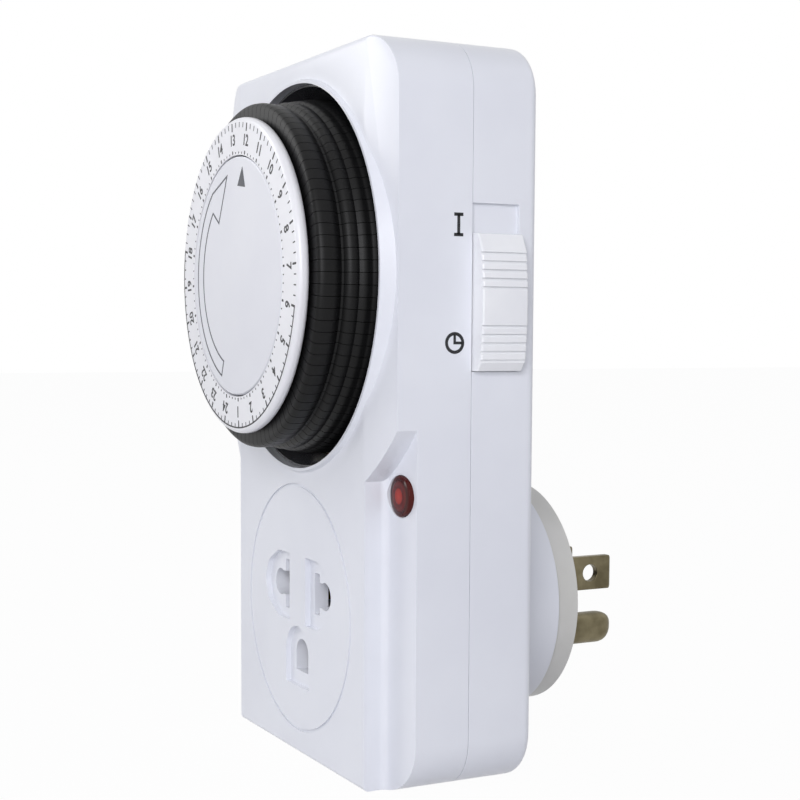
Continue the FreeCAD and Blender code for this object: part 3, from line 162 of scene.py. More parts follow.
class TimerMouldSettings(bpy.types.PropertyGroup):
    """How far edges are softened, and the sizes of the lens, the segments and the ground pin."""
    case_edge: length("Case edge", "Width of the softened edges of the covers", 0.32)
    knob_edge: length("Knob edge", "Width of the softened edges of the knob", 0.16)
    blade_edge: length("Blade edge", "Width of the softened edges of the blades", 0.14)
    edge_steps: count("Edge steps", "Faces across a softened edge", 3)
    lens_rim: length("Lens rim", "How far the lens's rim lies behind its front", 0.35)
    lens_dome: length("Lens dome", "How far the lens swells over its rim", 0.3)
    segment_count: count("Segments", "Switching segments round the dial", 96)
    segment_gap: length("Segment gap", "Slit between two segments", 0.1)
    pin_nose: length("Pin nose", "Length of the ground pin's rounded nose", 3.6)


class TimerStageSettings(bpy.types.PropertyGroup):
    """The camera of the photograph and the studio."""
    focal_pixels: bpy.props.FloatProperty(name="Focal length", description="In pixels of an 800 pixel frame",
                                          default=1534.0)
    axis_row: bpy.props.FloatProperty(name="Axis row", description="Pixel row that the lens points at",
                                      default=452.5)
    yaw: angle("Yaw", "Turn of the camera to the object's right side", 62.555)
    pitch: angle("Pitch", "Tilt of the camera, down is negative", -4.45)
    roll: angle("Roll", "Turn of the camera about its own line of sight", 0.29)
    camera_place: bpy.props.FloatVectorProperty(name="Camera", description="Where the camera stands",
                                                default=(0.2454, -0.1528, 0.0482), subtype="TRANSLATION",
                                                precision=5)


# Finishes

def linear(colour):
    """Turn an sRGB hex value into linear red, green and blue with full cover."""
    parts = np.array([int(colour[index:index + 2], 16) for index in (1, 3, 5)]) / 255
    low = parts / 12.92
    high = ((parts + 0.055) / 1.055) ** 2.4
    return (*np.where(parts <= 0.04045, low, high), 1.0)


def add_node(tree, kind, settings=None, links=None):
    """Add a node, set its sockets or attributes and link other nodes' outputs into it.

    A socket is named by its label or its number.
    """
    node = tree.nodes.new(kind)
    for key, value in (settings or {}).items():
        if isinstance(key, int) or key in node.inputs:
            node.inputs[key].default_value = value
        else:
            setattr(node, key, value)
    for key, source in (links or {}).items():
        tree.links.new(source, node.inputs[key])
    return node


def finish(name, colour, second, patch, grain, relief, gloss, stretch=(1, 1, 1), **plain):
    """Make a material: colour drifts to a second one over patches, and a finer grain lifts the surface.

    patch and grain are sizes in millimetres, relief is the grain's height in millimetres, and gloss
    is the least and most roughness. stretch draws the grain out along an axis, and plain holds
    further sockets of the shader that stay constant.
    """
    material = bpy.data.materials.new(name)
    material.use_nodes = True
    tree = material.node_tree
    tree.nodes.clear()
    place = add_node(tree, "ShaderNodeTexCoord").outputs["Object"]
    drift = add_node(tree, "ShaderNodeTexNoise",
                     {"Scale": 1 / (patch * MM), "Detail": 3.0, "Roughness": 0.55}, {"Vector": place})
    blend = add_node(tree, "ShaderNodeMapRange", {"From Min": 0.38, "From Max": 0.66},
                     {"Value": drift.outputs["Fac"]})
    mixed = add_node(tree, "ShaderNodeMix", {"data_type": "RGBA"}, {"Factor": blend.outputs["Result"]})
    colours = [socket for socket in mixed.inputs if socket.type == "RGBA"]
    colours[0].default_value = linear(colour)
    colours[1].default_value = linear(second)
    mixed_colour = [socket for socket in mixed.outputs if socket.type == "RGBA"][0]
    drawn = add_node(tree, "ShaderNodeMapping", {"Scale": stretch}, {"Vector": place})
    fine = add_node(tree, "ShaderNodeTexNoise", {"Scale": 1 / (grain * MM), "Detail": 4.0, "Roughness": 0.6},
                    {"Vector": drawn.outputs["Vector"]})
    polish = add_node(tree, "ShaderNodeMapRange", {"To Min": gloss[0], "To Max": gloss[1]},
                      {"Value": fine.outputs["Fac"]})
    lifted = add_node(tree, "ShaderNodeBump", {"Strength": 1.0, "Distance": relief * MM},
                      {"Height": fine.outputs["Fac"]})
    shader = add_node(tree, "ShaderNodeBsdfPrincipled", plain,
                      {"Base Color": mixed_colour, "Roughness": polish.outputs["Result"],
                       "Normal": lifted.outputs["Normal"]})
    add_node(tree, "ShaderNodeOutputMaterial", links={"Surface": shader.outputs["BSDF"]})
    return material


def winding_finish():
    """Enamelled copper wire, wound: fine turns show as bright lines round the coil.

    The real wire is 0.06 mm thick. The turns are drawn at 0.3 mm so that they show. A wave texture
    at scale 1 turns by 20 radians in a metre, so its scale is a full turn over 20 times the spacing.
    """
    wire_thickness = 0.06 * MM
    drawn_spacing = 0.3 * MM
    wave_rate = 20
    material = finish("enamelled_copper_wire", "#A8512B", "#8A3D1E", 2.0, 0.4, 0.01, (0.25, 0.4),
                      Metallic=0.7)
    tree = material.node_tree
    place = add_node(tree, "ShaderNodeTexCoord").outputs["Object"]
    turns = add_node(tree, "ShaderNodeTexWave",
                     {"wave_type": "BANDS", "bands_direction": "Y",
                      "Scale": 2 * math.pi / (wave_rate * drawn_spacing)}, {"Vector": place})
    bump = next(node for node in tree.nodes if node.type == "BUMP")
    bump.inputs["Distance"].default_value = wire_thickness
    tree.links.new(turns.outputs["Fac"], bump.inputs["Height"])
    return material


def lens_finish():
    """Clear red acrylic over a lamp: a light core, a dark ring, a lighter ring and a dark edge.

    The rings follow the distance from the lens's own axis, as a share of its radius: the light core is a
    painted highlight, the rings paint the light and shade of the lens's facets, and the dark edge is painted
    shade. The surface has a wet gloss.
    """
    material = finish("red_acrylic_painted_light", "#98261D", "#741A13", 1.6, 0.5, 0.001, (0.08, 0.14), IOR=1.49,
                      **{"Specular IOR Level": 0.2})
    tree = material.node_tree
    place = add_node(tree, "ShaderNodeTexCoord").outputs["Object"]
    moved = add_node(tree, "ShaderNodeMapping", {"Location": (-LENS.x, 0, -LENS.z)}, {"Vector": place})
    flat = add_node(tree, "ShaderNodeVectorMath", {"operation": "MULTIPLY", 1: (1, 0, 1)},
                    {0: moved.outputs["Vector"]})
    reach = add_node(tree, "ShaderNodeVectorMath", {"operation": "LENGTH"}, {0: flat.outputs["Vector"]})
    share = add_node(tree, "ShaderNodeMapRange", {"From Max": LENS_RADIUS}, {"Value": reach.outputs["Value"]})
    # Painted light and shade: the colour steps paint a highlight in the core, the facets' light and shade in
    # the rings, and shade at the edge
    rings = add_node(tree, "ShaderNodeValToRGB", links={"Fac": share.outputs["Result"]})
    steps = rings.color_ramp.elements
    for spot, colour in ((0.34, "#9C2A1F"), (0.42, "#52100C"), (0.62, "#64150F"), (0.8, "#380A08")):
        steps.new(spot).color = linear(colour)
    steps[0].color = linear("#B2382A")
    steps[-1].color = linear("#4A0E0B")
    shader = next(node for node in tree.nodes if node.type == "BSDF_PRINCIPLED")
    tree.links.new(rings.outputs["Color"], shader.inputs["Base Color"])
    return material


def make_finishes():
    """Every finish of the object, named for what the real surface is."""
    return {
        # Case halves: injection moulded ABS, cool white, satin from a fine spark eroded mould
        "case": finish("moulded_white_abs", "#E6E8EE", "#E1E3EA", 26.0, 0.35, 0.002, (0.26, 0.34), IOR=1.54),
        # Plug insert: moulded polycarbonate, a shade greyer and duller than the case
        "insert": finish("moulded_grey_polycarbonate", "#D2D1CD", "#CCCBC6", 12.0, 0.3, 0.005,
                         (0.34, 0.44), IOR=1.58),
        # Dial ring: moulded white ABS, a little brighter than the case
        "dial": finish("moulded_dial_abs", "#EDEDF0", "#E8E8EB", 14.0, 0.3, 0.0015, (0.28, 0.34), IOR=1.54),
        # Centre disc: the same resin with a smoother face for the print
        "disc": finish("printed_disc_abs", "#E3E4E9", "#DFE0E6", 18.0, 0.3, 0.0008, (0.28, 0.32), IOR=1.54),
        # Switch knob: moulded ABS, whitest of all and slightly glossy
        "knob": finish("moulded_knob_abs", "#F1F2F4", "#ECEDF0", 9.0, 0.25, 0.002, (0.22, 0.28), IOR=1.54),
        # Segments and their carrier: black acetal, satin with a soft sheen on its ridges
        "segment": finish("moulded_black_acetal", "#070708", "#0A0A0B", 5.0, 0.22, 0.002, (0.4, 0.5),
                          IOR=1.48, **{"Specular IOR Level": 0.22}),
        # Well liner: black ABS from a polished mould, its colour lifted to a dark grey as a painted
        # reflection
        "liner": finish("polished_black_abs_painted_reflection", "#4A4A4E", "#404044", 10.0, 0.5, 0.001, (0.16, 0.24), IOR=1.54),
        # Lens: clear red acrylic, in rings of painted light and shade
        "lens": lens_finish(),
        # Blades and pin: brass with dull nickel, drawn along its length and tarnished olive
        "nickel": finish("dull_nickel_plate", "#7A725B", "#5E5743", 4.5, 0.3, 0.006, (0.3, 0.5),
                         stretch=(1, 0.08, 1), Metallic=1.0),
        # Contacts: rolled spring brass, bright with faint lines along the roll
        "brass": finish("rolled_brass", "#C9A45C", "#B58F49", 4.0, 0.3, 0.004, (0.24, 0.4),
                        stretch=(1, 0.1, 1), Metallic=1.0),
        # Stem, arbors, screws and can: bright zinc plated steel
        "steel": finish("zinc_plated_steel", "#B9BABD", "#A4A6AB", 6.0, 0.3, 0.004, (0.26, 0.42),
                        Metallic=1.0),
        # Gears: natural acetal, warm white and waxy
        "nylon": finish("natural_acetal", "#DDD8C8", "#D5CFBC", 5.0, 0.3, 0.003, (0.36, 0.48), IOR=1.48,
                        **{"Subsurface Weight": 0.1, "Subsurface Scale": 0.6 * MM}),
        # Carriers inside: moulded phenolic, dark grey and matt
        "phenolic": finish("moulded_phenolic", "#43454A", "#3A3C41", 6.0, 0.25, 0.01, (0.5, 0.66)),
        "copper": winding_finish(),
        # Rotor: sintered ferrite, dark and grainy
        "ferrite": finish("sintered_ferrite", "#3A3A3D", "#2E2E31", 2.0, 0.2, 0.02, (0.55, 0.7)),
        # Neon lamp: clear soda glass, faintly warm and almost mirror smooth
        "glass": finish("clear_lamp_glass", "#F3E9E2", "#EFE2D8", 3.0, 0.4, 0.001, (0.03, 0.08),
                        IOR=1.5, **{"Transmission Weight": 0.9}),
        # Resistor: dipped tan lacquer, even and half glossy
        "lacquer": finish("tan_lacquer", "#C2A277", "#B39167", 1.6, 0.3, 0.006, (0.3, 0.45)),
        # Marks: pad printed ink, black and slightly dull
        "ink": finish("pad_printed_ink", "#0E0F13", "#131419", 1.2, 0.12, 0.003, (0.45, 0.6)),
        # Pointer: the same ink, thinner, so that it reads dark grey
        "grey_ink": finish("thin_printed_ink", "#3B3D45", "#44464E", 1.2, 0.12, 0.003, (0.45, 0.6)),
    }


NODE_FINISHES = {
    "front_cover": "case", "rear_cover": "case", "case_screws": "steel", "plug_insert": "insert",
    "neutral_blade": "nickel", "live_blade": "nickel", "ground_pin": "nickel", "neutral_contact": "brass",
    "live_contact": "brass", "live_strap": "brass", "ground_contact": "brass", "contact_carrier": "phenolic",
    "well_liner": "liner", "dial_ring": "dial", "centre_disc": "disc", "segment_carrier": "segment",
    "switching_segments": "segment", "noon_segment": "segment", "dial_gear": "segment",
    "clutch_pinion": "nylon", "clutch_wheel": "nylon", "second_wheel": "nylon", "first_wheel": "nylon",
    "gear_arbors": "steel", "movement_plate": "phenolic", "dial_stem": "steel", "stem_washer": "steel",
    "motor_can": "steel", "coil_bobbin": "nylon", "coil_winding": "copper", "motor_rotor": "ferrite",
    "trip_lever": "nylon", "lever_pin": "steel", "snap_switch_case": "phenolic", "switch_plunger": "nylon",
    "switch_terminals": "brass", "switch_spring_blade": "brass", "switch_knob": "knob", "lamp_lens": "lens",
    "neon_lamp": "glass", "lamp_resistor": "lacquer",
}
FINISHES = {}


def coat(piece, finish_name):
    """Give a piece one finish over its whole surface."""
    piece.data.materials.clear()
    piece.data.materials.append(FINISHES[finish_name])
    piece.data.polygons.foreach_set("material_index", np.zeros(len(piece.data.polygons), dtype=np.int32))
    return piece


# Shapes

def piece_from(name, points, faces, smooth=False):
    """Put an array of points and a list of faces into a new object at the origin."""
    mesh = bpy.data.meshes.new(name)
    mesh.from_pydata(points.tolist(), [], faces)
    mesh.update()
    if smooth:
        mesh.shade_smooth()
    piece = bpy.data.objects.new(name, mesh)
    bpy.context.scene.collection.objects.link(piece)
    return piece


def ribbon(first, second, front, rear, closed=False):
    """Carry a flat rectangle along two curves.

    Each step has four corners: the first and the second curve's point on the front, then the same two
    on the rear in the other order. Steps are joined by four sided faces, and open ends get a cap.
    Returns the points and faces, with faces that point outwards where the second curve lies to the
    right of the first seen from the front.
    """
    steps = len(first)
    corners = np.zeros((steps, 4, 3))
    section = ((first, front), (second, front), (second, rear), (first, rear))
    for slot, (curve, depth) in enumerate(section):
        corners[:, slot, 0] = curve[:, 0]
        corners[:, slot, 1] = depth
        corners[:, slot, 2] = curve[:, 1]
    step = np.arange(steps if closed else steps - 1)[:, None]
    side = np.arange(4)[None, :]
    following = (step + 1) % steps
    beside = (side + 1) % 4
    quads = np.stack([step * 4 + side, following * 4 + side,
                      following * 4 + beside, step * 4 + beside], axis=-1)
    faces = quads.reshape(-1, 4).tolist()
    if not closed:
        last = 4 * (steps - 1)
        faces += [[0, 1, 2, 3], [last + 3, last + 2, last + 1, last]]
    return corners.reshape(-1, 3), faces


def gathered(ribbons):
    """Join several lists of points and faces into one."""
    points, faces, start = [], [], 0
    for some_points, some_faces in ribbons:
        points.append(some_points)
        faces += [[index + start for index in face] for face in some_faces]
        start += len(some_points)
    return np.concatenate(points), faces


def outward(piece):
    """Merge the doubled corners of a piece of closed parts and turn its faces outwards."""
    work = bmesh.new()
    work.from_mesh(piece.data)
    bmesh.ops.remove_doubles(work, verts=work.verts, dist=0.001 * MM)
    bmesh.ops.recalc_face_normals(work, faces=work.faces)
    work.to_mesh(piece.data)
    work.free()
    return piece


def polar(radius, turn):
    """Points at a radius and a clockwise angle from straight up, as columns of x and height."""
    turn = np.asarray(turn, dtype=float)
    radius = np.broadcast_to(radius, turn.shape)
    return np.stack([radius * np.sin(turn), radius * np.cos(turn)], axis=-1)


def bar(radius, turn, extent, width):
    """The two sides of a straight bar that points away from the centre."""
    ends = polar(np.array([radius, radius + extent]), np.array([turn, turn]))
    across = polar(width / 2, turn + math.pi / 2)
    return ends - across, ends + across


def stroke(points, width, closed=False):
    """Both sides of a line of even width through points, with mitred corners.

    Each side is the point moved along the mean of its two neighbours' normals, and lengthened by
    one over the cosine of half the corner's turn. sharpest is the least cosine that counts, so that a
    narrow corner doesn't run far out.
    """
    sharpest = 0.35
    before = np.roll(points, 1, axis=0)
    after = np.roll(points, -1, axis=0)
    if not closed:
        before[0] = 2 * points[0] - points[1]
        after[-1] = 2 * points[-1] - points[-2]
    into = points - before
    out = after - points
    into /= np.linalg.norm(into, axis=1, keepdims=True)
    out /= np.linalg.norm(out, axis=1, keepdims=True)
    normal = np.stack([into[:, 1] + out[:, 1], -into[:, 0] - out[:, 0]], axis=-1)
    normal /= np.linalg.norm(normal, axis=1, keepdims=True)
    spread = np.abs(normal[:, 0] * into[:, 1] - normal[:, 1] * into[:, 0])
    offset = normal * (width / 2 / np.maximum(spread, sharpest))[:, None]
    return points - offset, points + offset


def skinned(name, rings):
    """Join rings of points by four sided faces and close both ends to the middle of their ring."""
    ring_count, steps = rings.shape[:2]
    poles = rings[[0, -1]].mean(axis=1)
    points = np.concatenate([rings.reshape(-1, 3), poles])
    ring = np.arange(ring_count - 1)[:, None] * steps
    along = np.arange(steps)[None, :]
    beside = (along + 1) % steps
    quads = np.stack([ring + along, ring + steps + along,
                      ring + steps + beside, ring + beside], axis=-1)
    last = (ring_count - 1) * steps
    first_pole = np.full(steps, ring_count * steps)
    fans = np.concatenate([np.stack([first_pole, along[0], beside[0]], axis=-1),
                           np.stack([first_pole + 1, last + beside[0], last + along[0]], axis=-1)])
    faces = quads.reshape(-1, 4).tolist() + fans.tolist()
    return outward(piece_from(name, points, faces, smooth=True))


def revolved(name, profile, centre, steps):
    """Turn a profile of radius and depth about a line along Y through a centre.

    A point's x and height are the radius times the sine and cosine of the turn.
    """
    turn = np.linspace(0, 2 * math.pi, steps, endpoint=False)
    rings = np.zeros((len(profile), steps, 3))
    rings[:, :, 0] = centre[0] + profile[:, 0, None] * np.sin(turn)
    rings[:, :, 1] = profile[:, 1, None]
    rings[:, :, 2] = centre[1] + profile[:, 0, None] * np.cos(turn)
    return skinned(name, rings)


def wedges(name, turns, half, profile, centre):
    """Sweep a closed profile of depth and radius through a small angle about the dial at each turn.

    Each wedge has three copies of the profile, at its turn less the half angle, at the turn and past
    it. A point's x and height are its radius times the sine and cosine of the copy's angle.
    """
    spread = turns[:, None] + np.array([-half, 0, half])[None, :]
    points = np.zeros((*spread.shape, len(profile), 3))
    points[..., 0] = centre[0] + profile[:, 1] * np.sin(spread)[..., None]
    points[..., 1] = profile[:, 0]
    points[..., 2] = centre[1] + profile[:, 1] * np.cos(spread)[..., None]
    size = len(profile)
    start = np.arange(len(turns))[:, None, None] * 3 * size
    copy = np.arange(2)[None, :, None] * size
    along = np.arange(size)[None, None, :]
    beside = (along + 1) % size
    quads = np.stack([start + copy + along, start + copy + beside, start + copy + size + beside,
                      start + copy + size + along], axis=-1)
    caps = np.concatenate([(start[:, 0] + along[0])[:, ::-1], start[:, 0] + 2 * size + along[0]])
    faces = quads.reshape(-1, 4).tolist() + caps.tolist()
    piece = outward(piece_from(name, points.reshape(-1, 3), faces, smooth=True))
    piece.data.set_sharp_from_angle(angle=SEGMENT_CREASE)
    return piece


def softened(name, node, edge, steps):
    """Copy a node, join its loose triangles into whole faces and soften its sharp edges."""
    flat_enough = math.radians(0.6)
    work = bmesh.new()
    work.from_mesh(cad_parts[node].data)
    bmesh.ops.remove_doubles(work, verts=work.verts, dist=0.002 * MM)
    bmesh.ops.dissolve_limit(work, angle_limit=flat_enough, use_dissolve_boundaries=False,
                             verts=work.verts, edges=work.edges)
    work.verts.ensure_lookup_table()
    points = np.array([vertex.co[:] for vertex in work.verts])
    faces = [[vertex.index for vertex in face.verts] for face in work.faces]
    work.free()
    piece = piece_from(name, points, faces, smooth=True)
    piece.data.set_sharp_from_angle(angle=MOULDED_CREASE)
    bevel = piece.modifiers.new("Soft edges", "BEVEL")
    bevel.width = edge
    bevel.segments = steps
    bevel.limit_method = "ANGLE"
    bevel.angle_limit = MOULDED_CREASE
    bevel.harden_normals = True
    bevel.use_clamp_overlap = True
    bevel.miter_outer = "MITER_ARC"
    return piece


def lettering(text_body, height, weight):
    """Points and faces of a printed word, centred at zero, in its own flat frame.

    weight swells the strokes of the typeface before the word is brought to its height.
    """
    curve = bpy.data.curves.new("word", "FONT")
    curve.body = text_body
    curve.align_x = "CENTER"
    curve.align_y = "CENTER"
    curve.resolution_u = 3
    curve.extrude = 1.0
    curve.offset = weight
    holder = bpy.data.objects.new("word", curve)
    bpy.context.scene.collection.objects.link(holder)
    bpy.context.view_layer.update()
    shown = holder.evaluated_get(bpy.context.evaluated_depsgraph_get())
    mesh = bpy.data.meshes.new_from_object(shown)
    points = np.zeros(len(mesh.vertices) * 3)
    mesh.vertices.foreach_get("co", points)
    points = points.reshape(-1, 3)
    faces = [list(face.vertices) for face in mesh.polygons]
    bpy.data.objects.remove(holder)
    bpy.data.curves.remove(curve)
    bpy.data.meshes.remove(mesh)
    low = points[:, :2].min(axis=0)
    high = points[:, :2].max(axis=0)
    points[:, :2] = (points[:, :2] - (low + high) / 2) * height / (high[1] - low[1])
    return points, faces


# Operators

class TIMER_OT_finishes(bpy.types.Operator):
    """Give every carried over piece its finish"""
    bl_idname = "timer.finishes"
    bl_label = "Finishes"

    def execute(self, context):
        FINISHES.update(make_finishes())
        missing = sorted(set(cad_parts) ^ set(NODE_FINISHES))
        if missing:
            raise RuntimeError(f"these nodes have no finish: {missing}")
        for node, finish_name in NODE_FINISHES.items():
            coat(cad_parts[node], finish_name)
        return {"FINISHED"}


class TIMER_OT_mouldings(bpy.types.Operator):
    """Replace the sharp covers, insert, knob and blades with copies that have soft edges"""
    bl_idname = "timer.mouldings"
    bl_label = "Soft mouldings"

    def execute(self, context):
        sizes = context.scene.timer_moulds
        rows = (
            ("moulded_front_cover", "front_cover", "case", "case_white", sizes.case_edge),
            ("moulded_rear_cover", "rear_cover", "case", "case_white", sizes.case_edge),
            ("moulded_plug_insert", "plug_insert", "case", "insert_grey", sizes.case_edge),
            ("moulded_switch_knob", "switch_knob", "knob", "knob_white", sizes.knob_edge),
            ("plated_neutral_blade", "neutral_blade", "case", "blade_nickel", sizes.blade_edge),
            ("plated_live_blade", "live_blade", "case", "blade_nickel", sizes.blade_edge),
        )
        for name, node, body, slot, edge in rows:
            piece = softened(name, node, edge, sizes.edge_steps)
            coat(piece, NODE_FINISHES[node])
            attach(piece, body)
            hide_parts(node)
        return {"FINISHED"}


class TIMER_OT_lens(bpy.types.Operator):
    """Make the red lens with its domed face"""
    bl_idname = "timer.lens"
    bl_label = "Lamp lens"

    def execute(self, context):
        low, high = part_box("lamp_lens")
        radius = (high[0] - low[0]) / 2
        dome = context.scene.timer_moulds.lens_dome
        rim = low[1] + context.scene.timer_moulds.lens_rim
        # The dome is a quarter of an ellipse: its rise over the rim is the cosine and its radius the sine
        sweep = np.linspace(0, math.pi / 2, 14)
        face = np.stack([radius * np.sin(sweep), rim - dome * np.cos(sweep)], axis=-1)[1:]
        wall = np.array([[radius, high[1]]])
        piece = revolved("domed_lens", np.concatenate([face, wall]), (LENS.x, LENS.z), 48)
        coat(piece, "lens")
        piece.data.set_sharp_from_angle(angle=LENS_CREASE)
        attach(piece, "case")
        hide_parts("lamp_lens")
        return {"FINISHED"}


# A segment's outline as depth behind its front and radius, in millimetres: a round head, a groove,
# then a foot that rises in three soft ridges and ends square
SEGMENT_OUTLINE = np.array([
    (0.0, 24.9), (0.0, 28.2), (0.15, 28.65), (0.5, 28.95), (1.2, 29.1), (2.6, 29.08), (3.3, 28.92),
    (3.8, 28.62), (4.15, 28.42), (4.5, 28.5), (4.75, 28.95), (5.1, 29.32), (5.7, 29.5), (6.4, 29.5),
    (6.75, 29.42), (7.05, 29.62), (7.4, 29.85), (8.1, 29.95), (8.65, 29.9), (8.95, 29.98), (9.3, 30.18),
    (10.0, 30.28), (12.2, 30.3), (13.7, 30.28), (13.95, 30.1), (14.0, 29.8), (14.0, 24.9),
]) * MM


class TIMER_OT_segments(bpy.types.Operator):
    """Make the switching segments with their rounded heads and ridged feet"""
    bl_idname = "timer.segments"
    bl_label = "Switching segments"

    def execute(self, context):
        sizes = context.scene.timer_moulds
        pitch = 2 * math.pi / sizes.segment_count
        half = pitch / 2 - sizes.segment_gap / 2 / SEGMENT_OUTLINE[:, 1].max()
        pressed = centre_of("noon_segment")
        # The first segment's turn lies on a whole or half step round the dial
        near_noon = math.atan2(pressed.x - DIAL.x, pressed.z - DIAL.z)
        noon = round(near_noon / pitch * 2) * pitch / 2
        outline = SEGMENT_OUTLINE + np.array([front_of("noon_segment"), 0])
        others = noon + pitch * np.arange(1, sizes.segment_count)
        rows = (
            ("satin_segments", "switching_segments", "dial", others),
            ("satin_noon_segment", "noon_segment", "segment", np.array([noon])),
        )
        for name, node, body, turns in rows:
            piece = wedges(name, turns, half, outline, (DIAL.x, DIAL.z))
            coat(piece, "segment")
            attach(piece, body)
            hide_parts(node)
        return {"FINISHED"}


class TIMER_OT_ground_pin(bpy.types.Operator):
    """Make the ground pin with its rounded nose"""
    bl_idname = "timer.ground_pin"
    bl_label = "Ground pin"

    def execute(self, context):
        low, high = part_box("ground_pin")
        nose = context.scene.timer_moulds.pin_nose
        middle = (Vector(low) + Vector(high)) / 2
        wide = (high[0] - low[0]) / 2
        tall = (high[2] - low[2]) / 2
        # The section is an oval with fuller corners: sine and cosine raised to a power under one
        fullness = 0.8
        turn = np.linspace(0, 2 * math.pi, 40, endpoint=False)
        section = np.stack([np.sign(np.sin(turn)) * np.abs(np.sin(turn)) ** fullness * wide,
                            np.sign(np.cos(turn)) * np.abs(np.cos(turn)) ** fullness * tall], axis=-1)
        # The nose shrinks the section by one less a power of the reach, under a root, down to a small
        # flat tip. The section rises as it shrinks, so its lower side draws in the most.
        swell = 2.6
        root = 2.2
        tip_share = 0.12
        tip_rise = 0.3 * tall
        reach = np.concatenate([[0.0], np.sin(np.linspace(0, math.pi / 2, 16))])
        depth = high[1] - nose + reach * nose
        depth[0] = low[1]
        scale = np.maximum((1 - reach ** swell) ** (1 / root), tip_share)[:, None]
        rings = np.zeros((len(reach), len(turn), 3))
        rings[:, :, 0] = middle.x + section[None, :, 0] * scale
        rings[:, :, 1] = depth[:, None]
        rings[:, :, 2] = middle.z + section[None, :, 1] * scale + (1 - scale) * tip_rise
        piece = skinned("plated_ground_pin", rings)
        piece.data.set_sharp_from_angle(angle=PIN_CREASE)
        coat(piece, "nickel")
        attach(piece, "case")
        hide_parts("ground_pin")
        return {"FINISHED"}


def printed(name, ribbons, finish_name, body, place=(0.0, 0.0)):
    """Make one printed piece from ribbons in the plane of a front face, moved to its place."""
    points, faces = gathered(ribbons)
    points[:, 0] += place[0]
    points[:, 2] += place[1]
    piece = outward(piece_from(name, points, faces))
    coat(piece, finish_name)
    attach(piece, body)
    return piece


class TIMER_OT_dial_marks(bpy.types.Operator):
    """Print the numbers, the ticks and the night line on the dial ring"""
    bl_idname = "timer.dial_marks"
    bl_label = "Dial marks"

    def execute(self, context):
        sizes = context.scene.timer_prints
        front = DIAL_FACE - sizes.ink_height
        rear = DIAL_FACE + sizes.ink_root
        centre = (DIAL.x, DIAL.z)
        hour_turn = 2 * math.pi / HOURS

        # Numbers run anticlockwise, tops outwards: each word's flat frame is turned to its place
        words = []
        for hour in range(1, HOURS + 1):
            turn = sizes.first_digit + hour_turn * (HOURS / 2 - hour)
            flat, faces = lettering(str(hour), sizes.digit_height, sizes.digit_weight)
            across = np.array([math.cos(turn), -math.sin(turn)])
            up = np.array([math.sin(turn), math.cos(turn)])
            spot = flat[:, :1] * across * sizes.digit_width + flat[:, 1:2] * up + up * sizes.digit_radius
            depth = np.where(flat[:, 2] > 0, front, rear)
            words.append((np.stack([spot[:, 0], depth, spot[:, 1]], axis=-1), faces))
        printed("dial_numbers", words, "ink", "dial", centre)

        ticks = []
        for quarter in range(HOURS * QUARTERS):
            turn = sizes.first_tick + hour_turn * quarter / QUARTERS
            whole = quarter % QUARTERS == 0
            extent = sizes.hour_tick if whole else sizes.quarter_tick
            width = sizes.hour_stroke if whole else sizes.quarter_stroke
            inner = sizes.inner_hour if whole else sizes.inner_quarter
            ticks.append(ribbon(*bar(sizes.tick_end - extent, turn, extent, width), front, rear))
            ticks.append(ribbon(*bar(sizes.inner_start, turn, inner, width), front, rear))
        printed("dial_ticks", ticks, "ink", "dial", centre)

        # The night line stands a little prouder than the ticks that end in it
        prouder = 0.01 * MM
        quarter_day = math.pi / 2
        sweep = np.linspace(sizes.first_tick + quarter_day, sizes.first_tick + 3 * quarter_day, 97)
        sides = [polar(sizes.night_radius + share * sizes.night_stroke / 2, sweep) for share in (-1, 1)]
        printed("night_line", [ribbon(*sides, front - prouder, rear)], "ink", "dial", centre)
        return {"FINISHED"}


class TIMER_OT_disc_marks(bpy.types.Operator):
    """Print the pointer and the outlined turning arrow on the centre disc"""
    bl_idname = "timer.disc_marks"
    bl_label = "Disc marks"

    def execute(self, context):
        sizes = context.scene.timer_prints
        front = DISC_FACE - sizes.ink_height
        rear = DISC_FACE + sizes.ink_root
        centre = (DIAL.x, DIAL.z)

        tip = polar(18.5 * MM, math.radians(10.2))
        base = np.array([[1.03, 15.20], [4.51, 14.72]]) * MM
        blunt = np.array([-0.03, 0.0]) * MM
        left = np.stack([base[0], tip + blunt])
        right = np.stack([base[1], tip - blunt])
        printed("pointer_mark", [ribbon(left, right, front, rear)], "grey_ink", "case", centre)

        # The arrow's outline runs up the tail's outer arc, round the head and back down the inner arc
        tail = math.radians(-158.5)
        outer_neck = math.radians(-36.0)
        inner_neck = math.radians(-43.0)
        outer = polar(sizes.arrow_outer, np.linspace(tail, outer_neck, 60))
        inner = polar(sizes.arrow_inner, np.linspace(inner_neck, tail, 56))
        point = polar(17.6 * MM, math.radians(-12.4))
        barb = polar(12.2 * MM, math.radians(-39.4))
        outline = np.concatenate([outer, [point, barb], inner])
        sides = stroke(outline, sizes.arrow_stroke, closed=True)
        printed("turning_arrow", [ribbon(*sides, front, rear, closed=True)], "grey_ink", "case", centre)
        return {"FINISHED"}


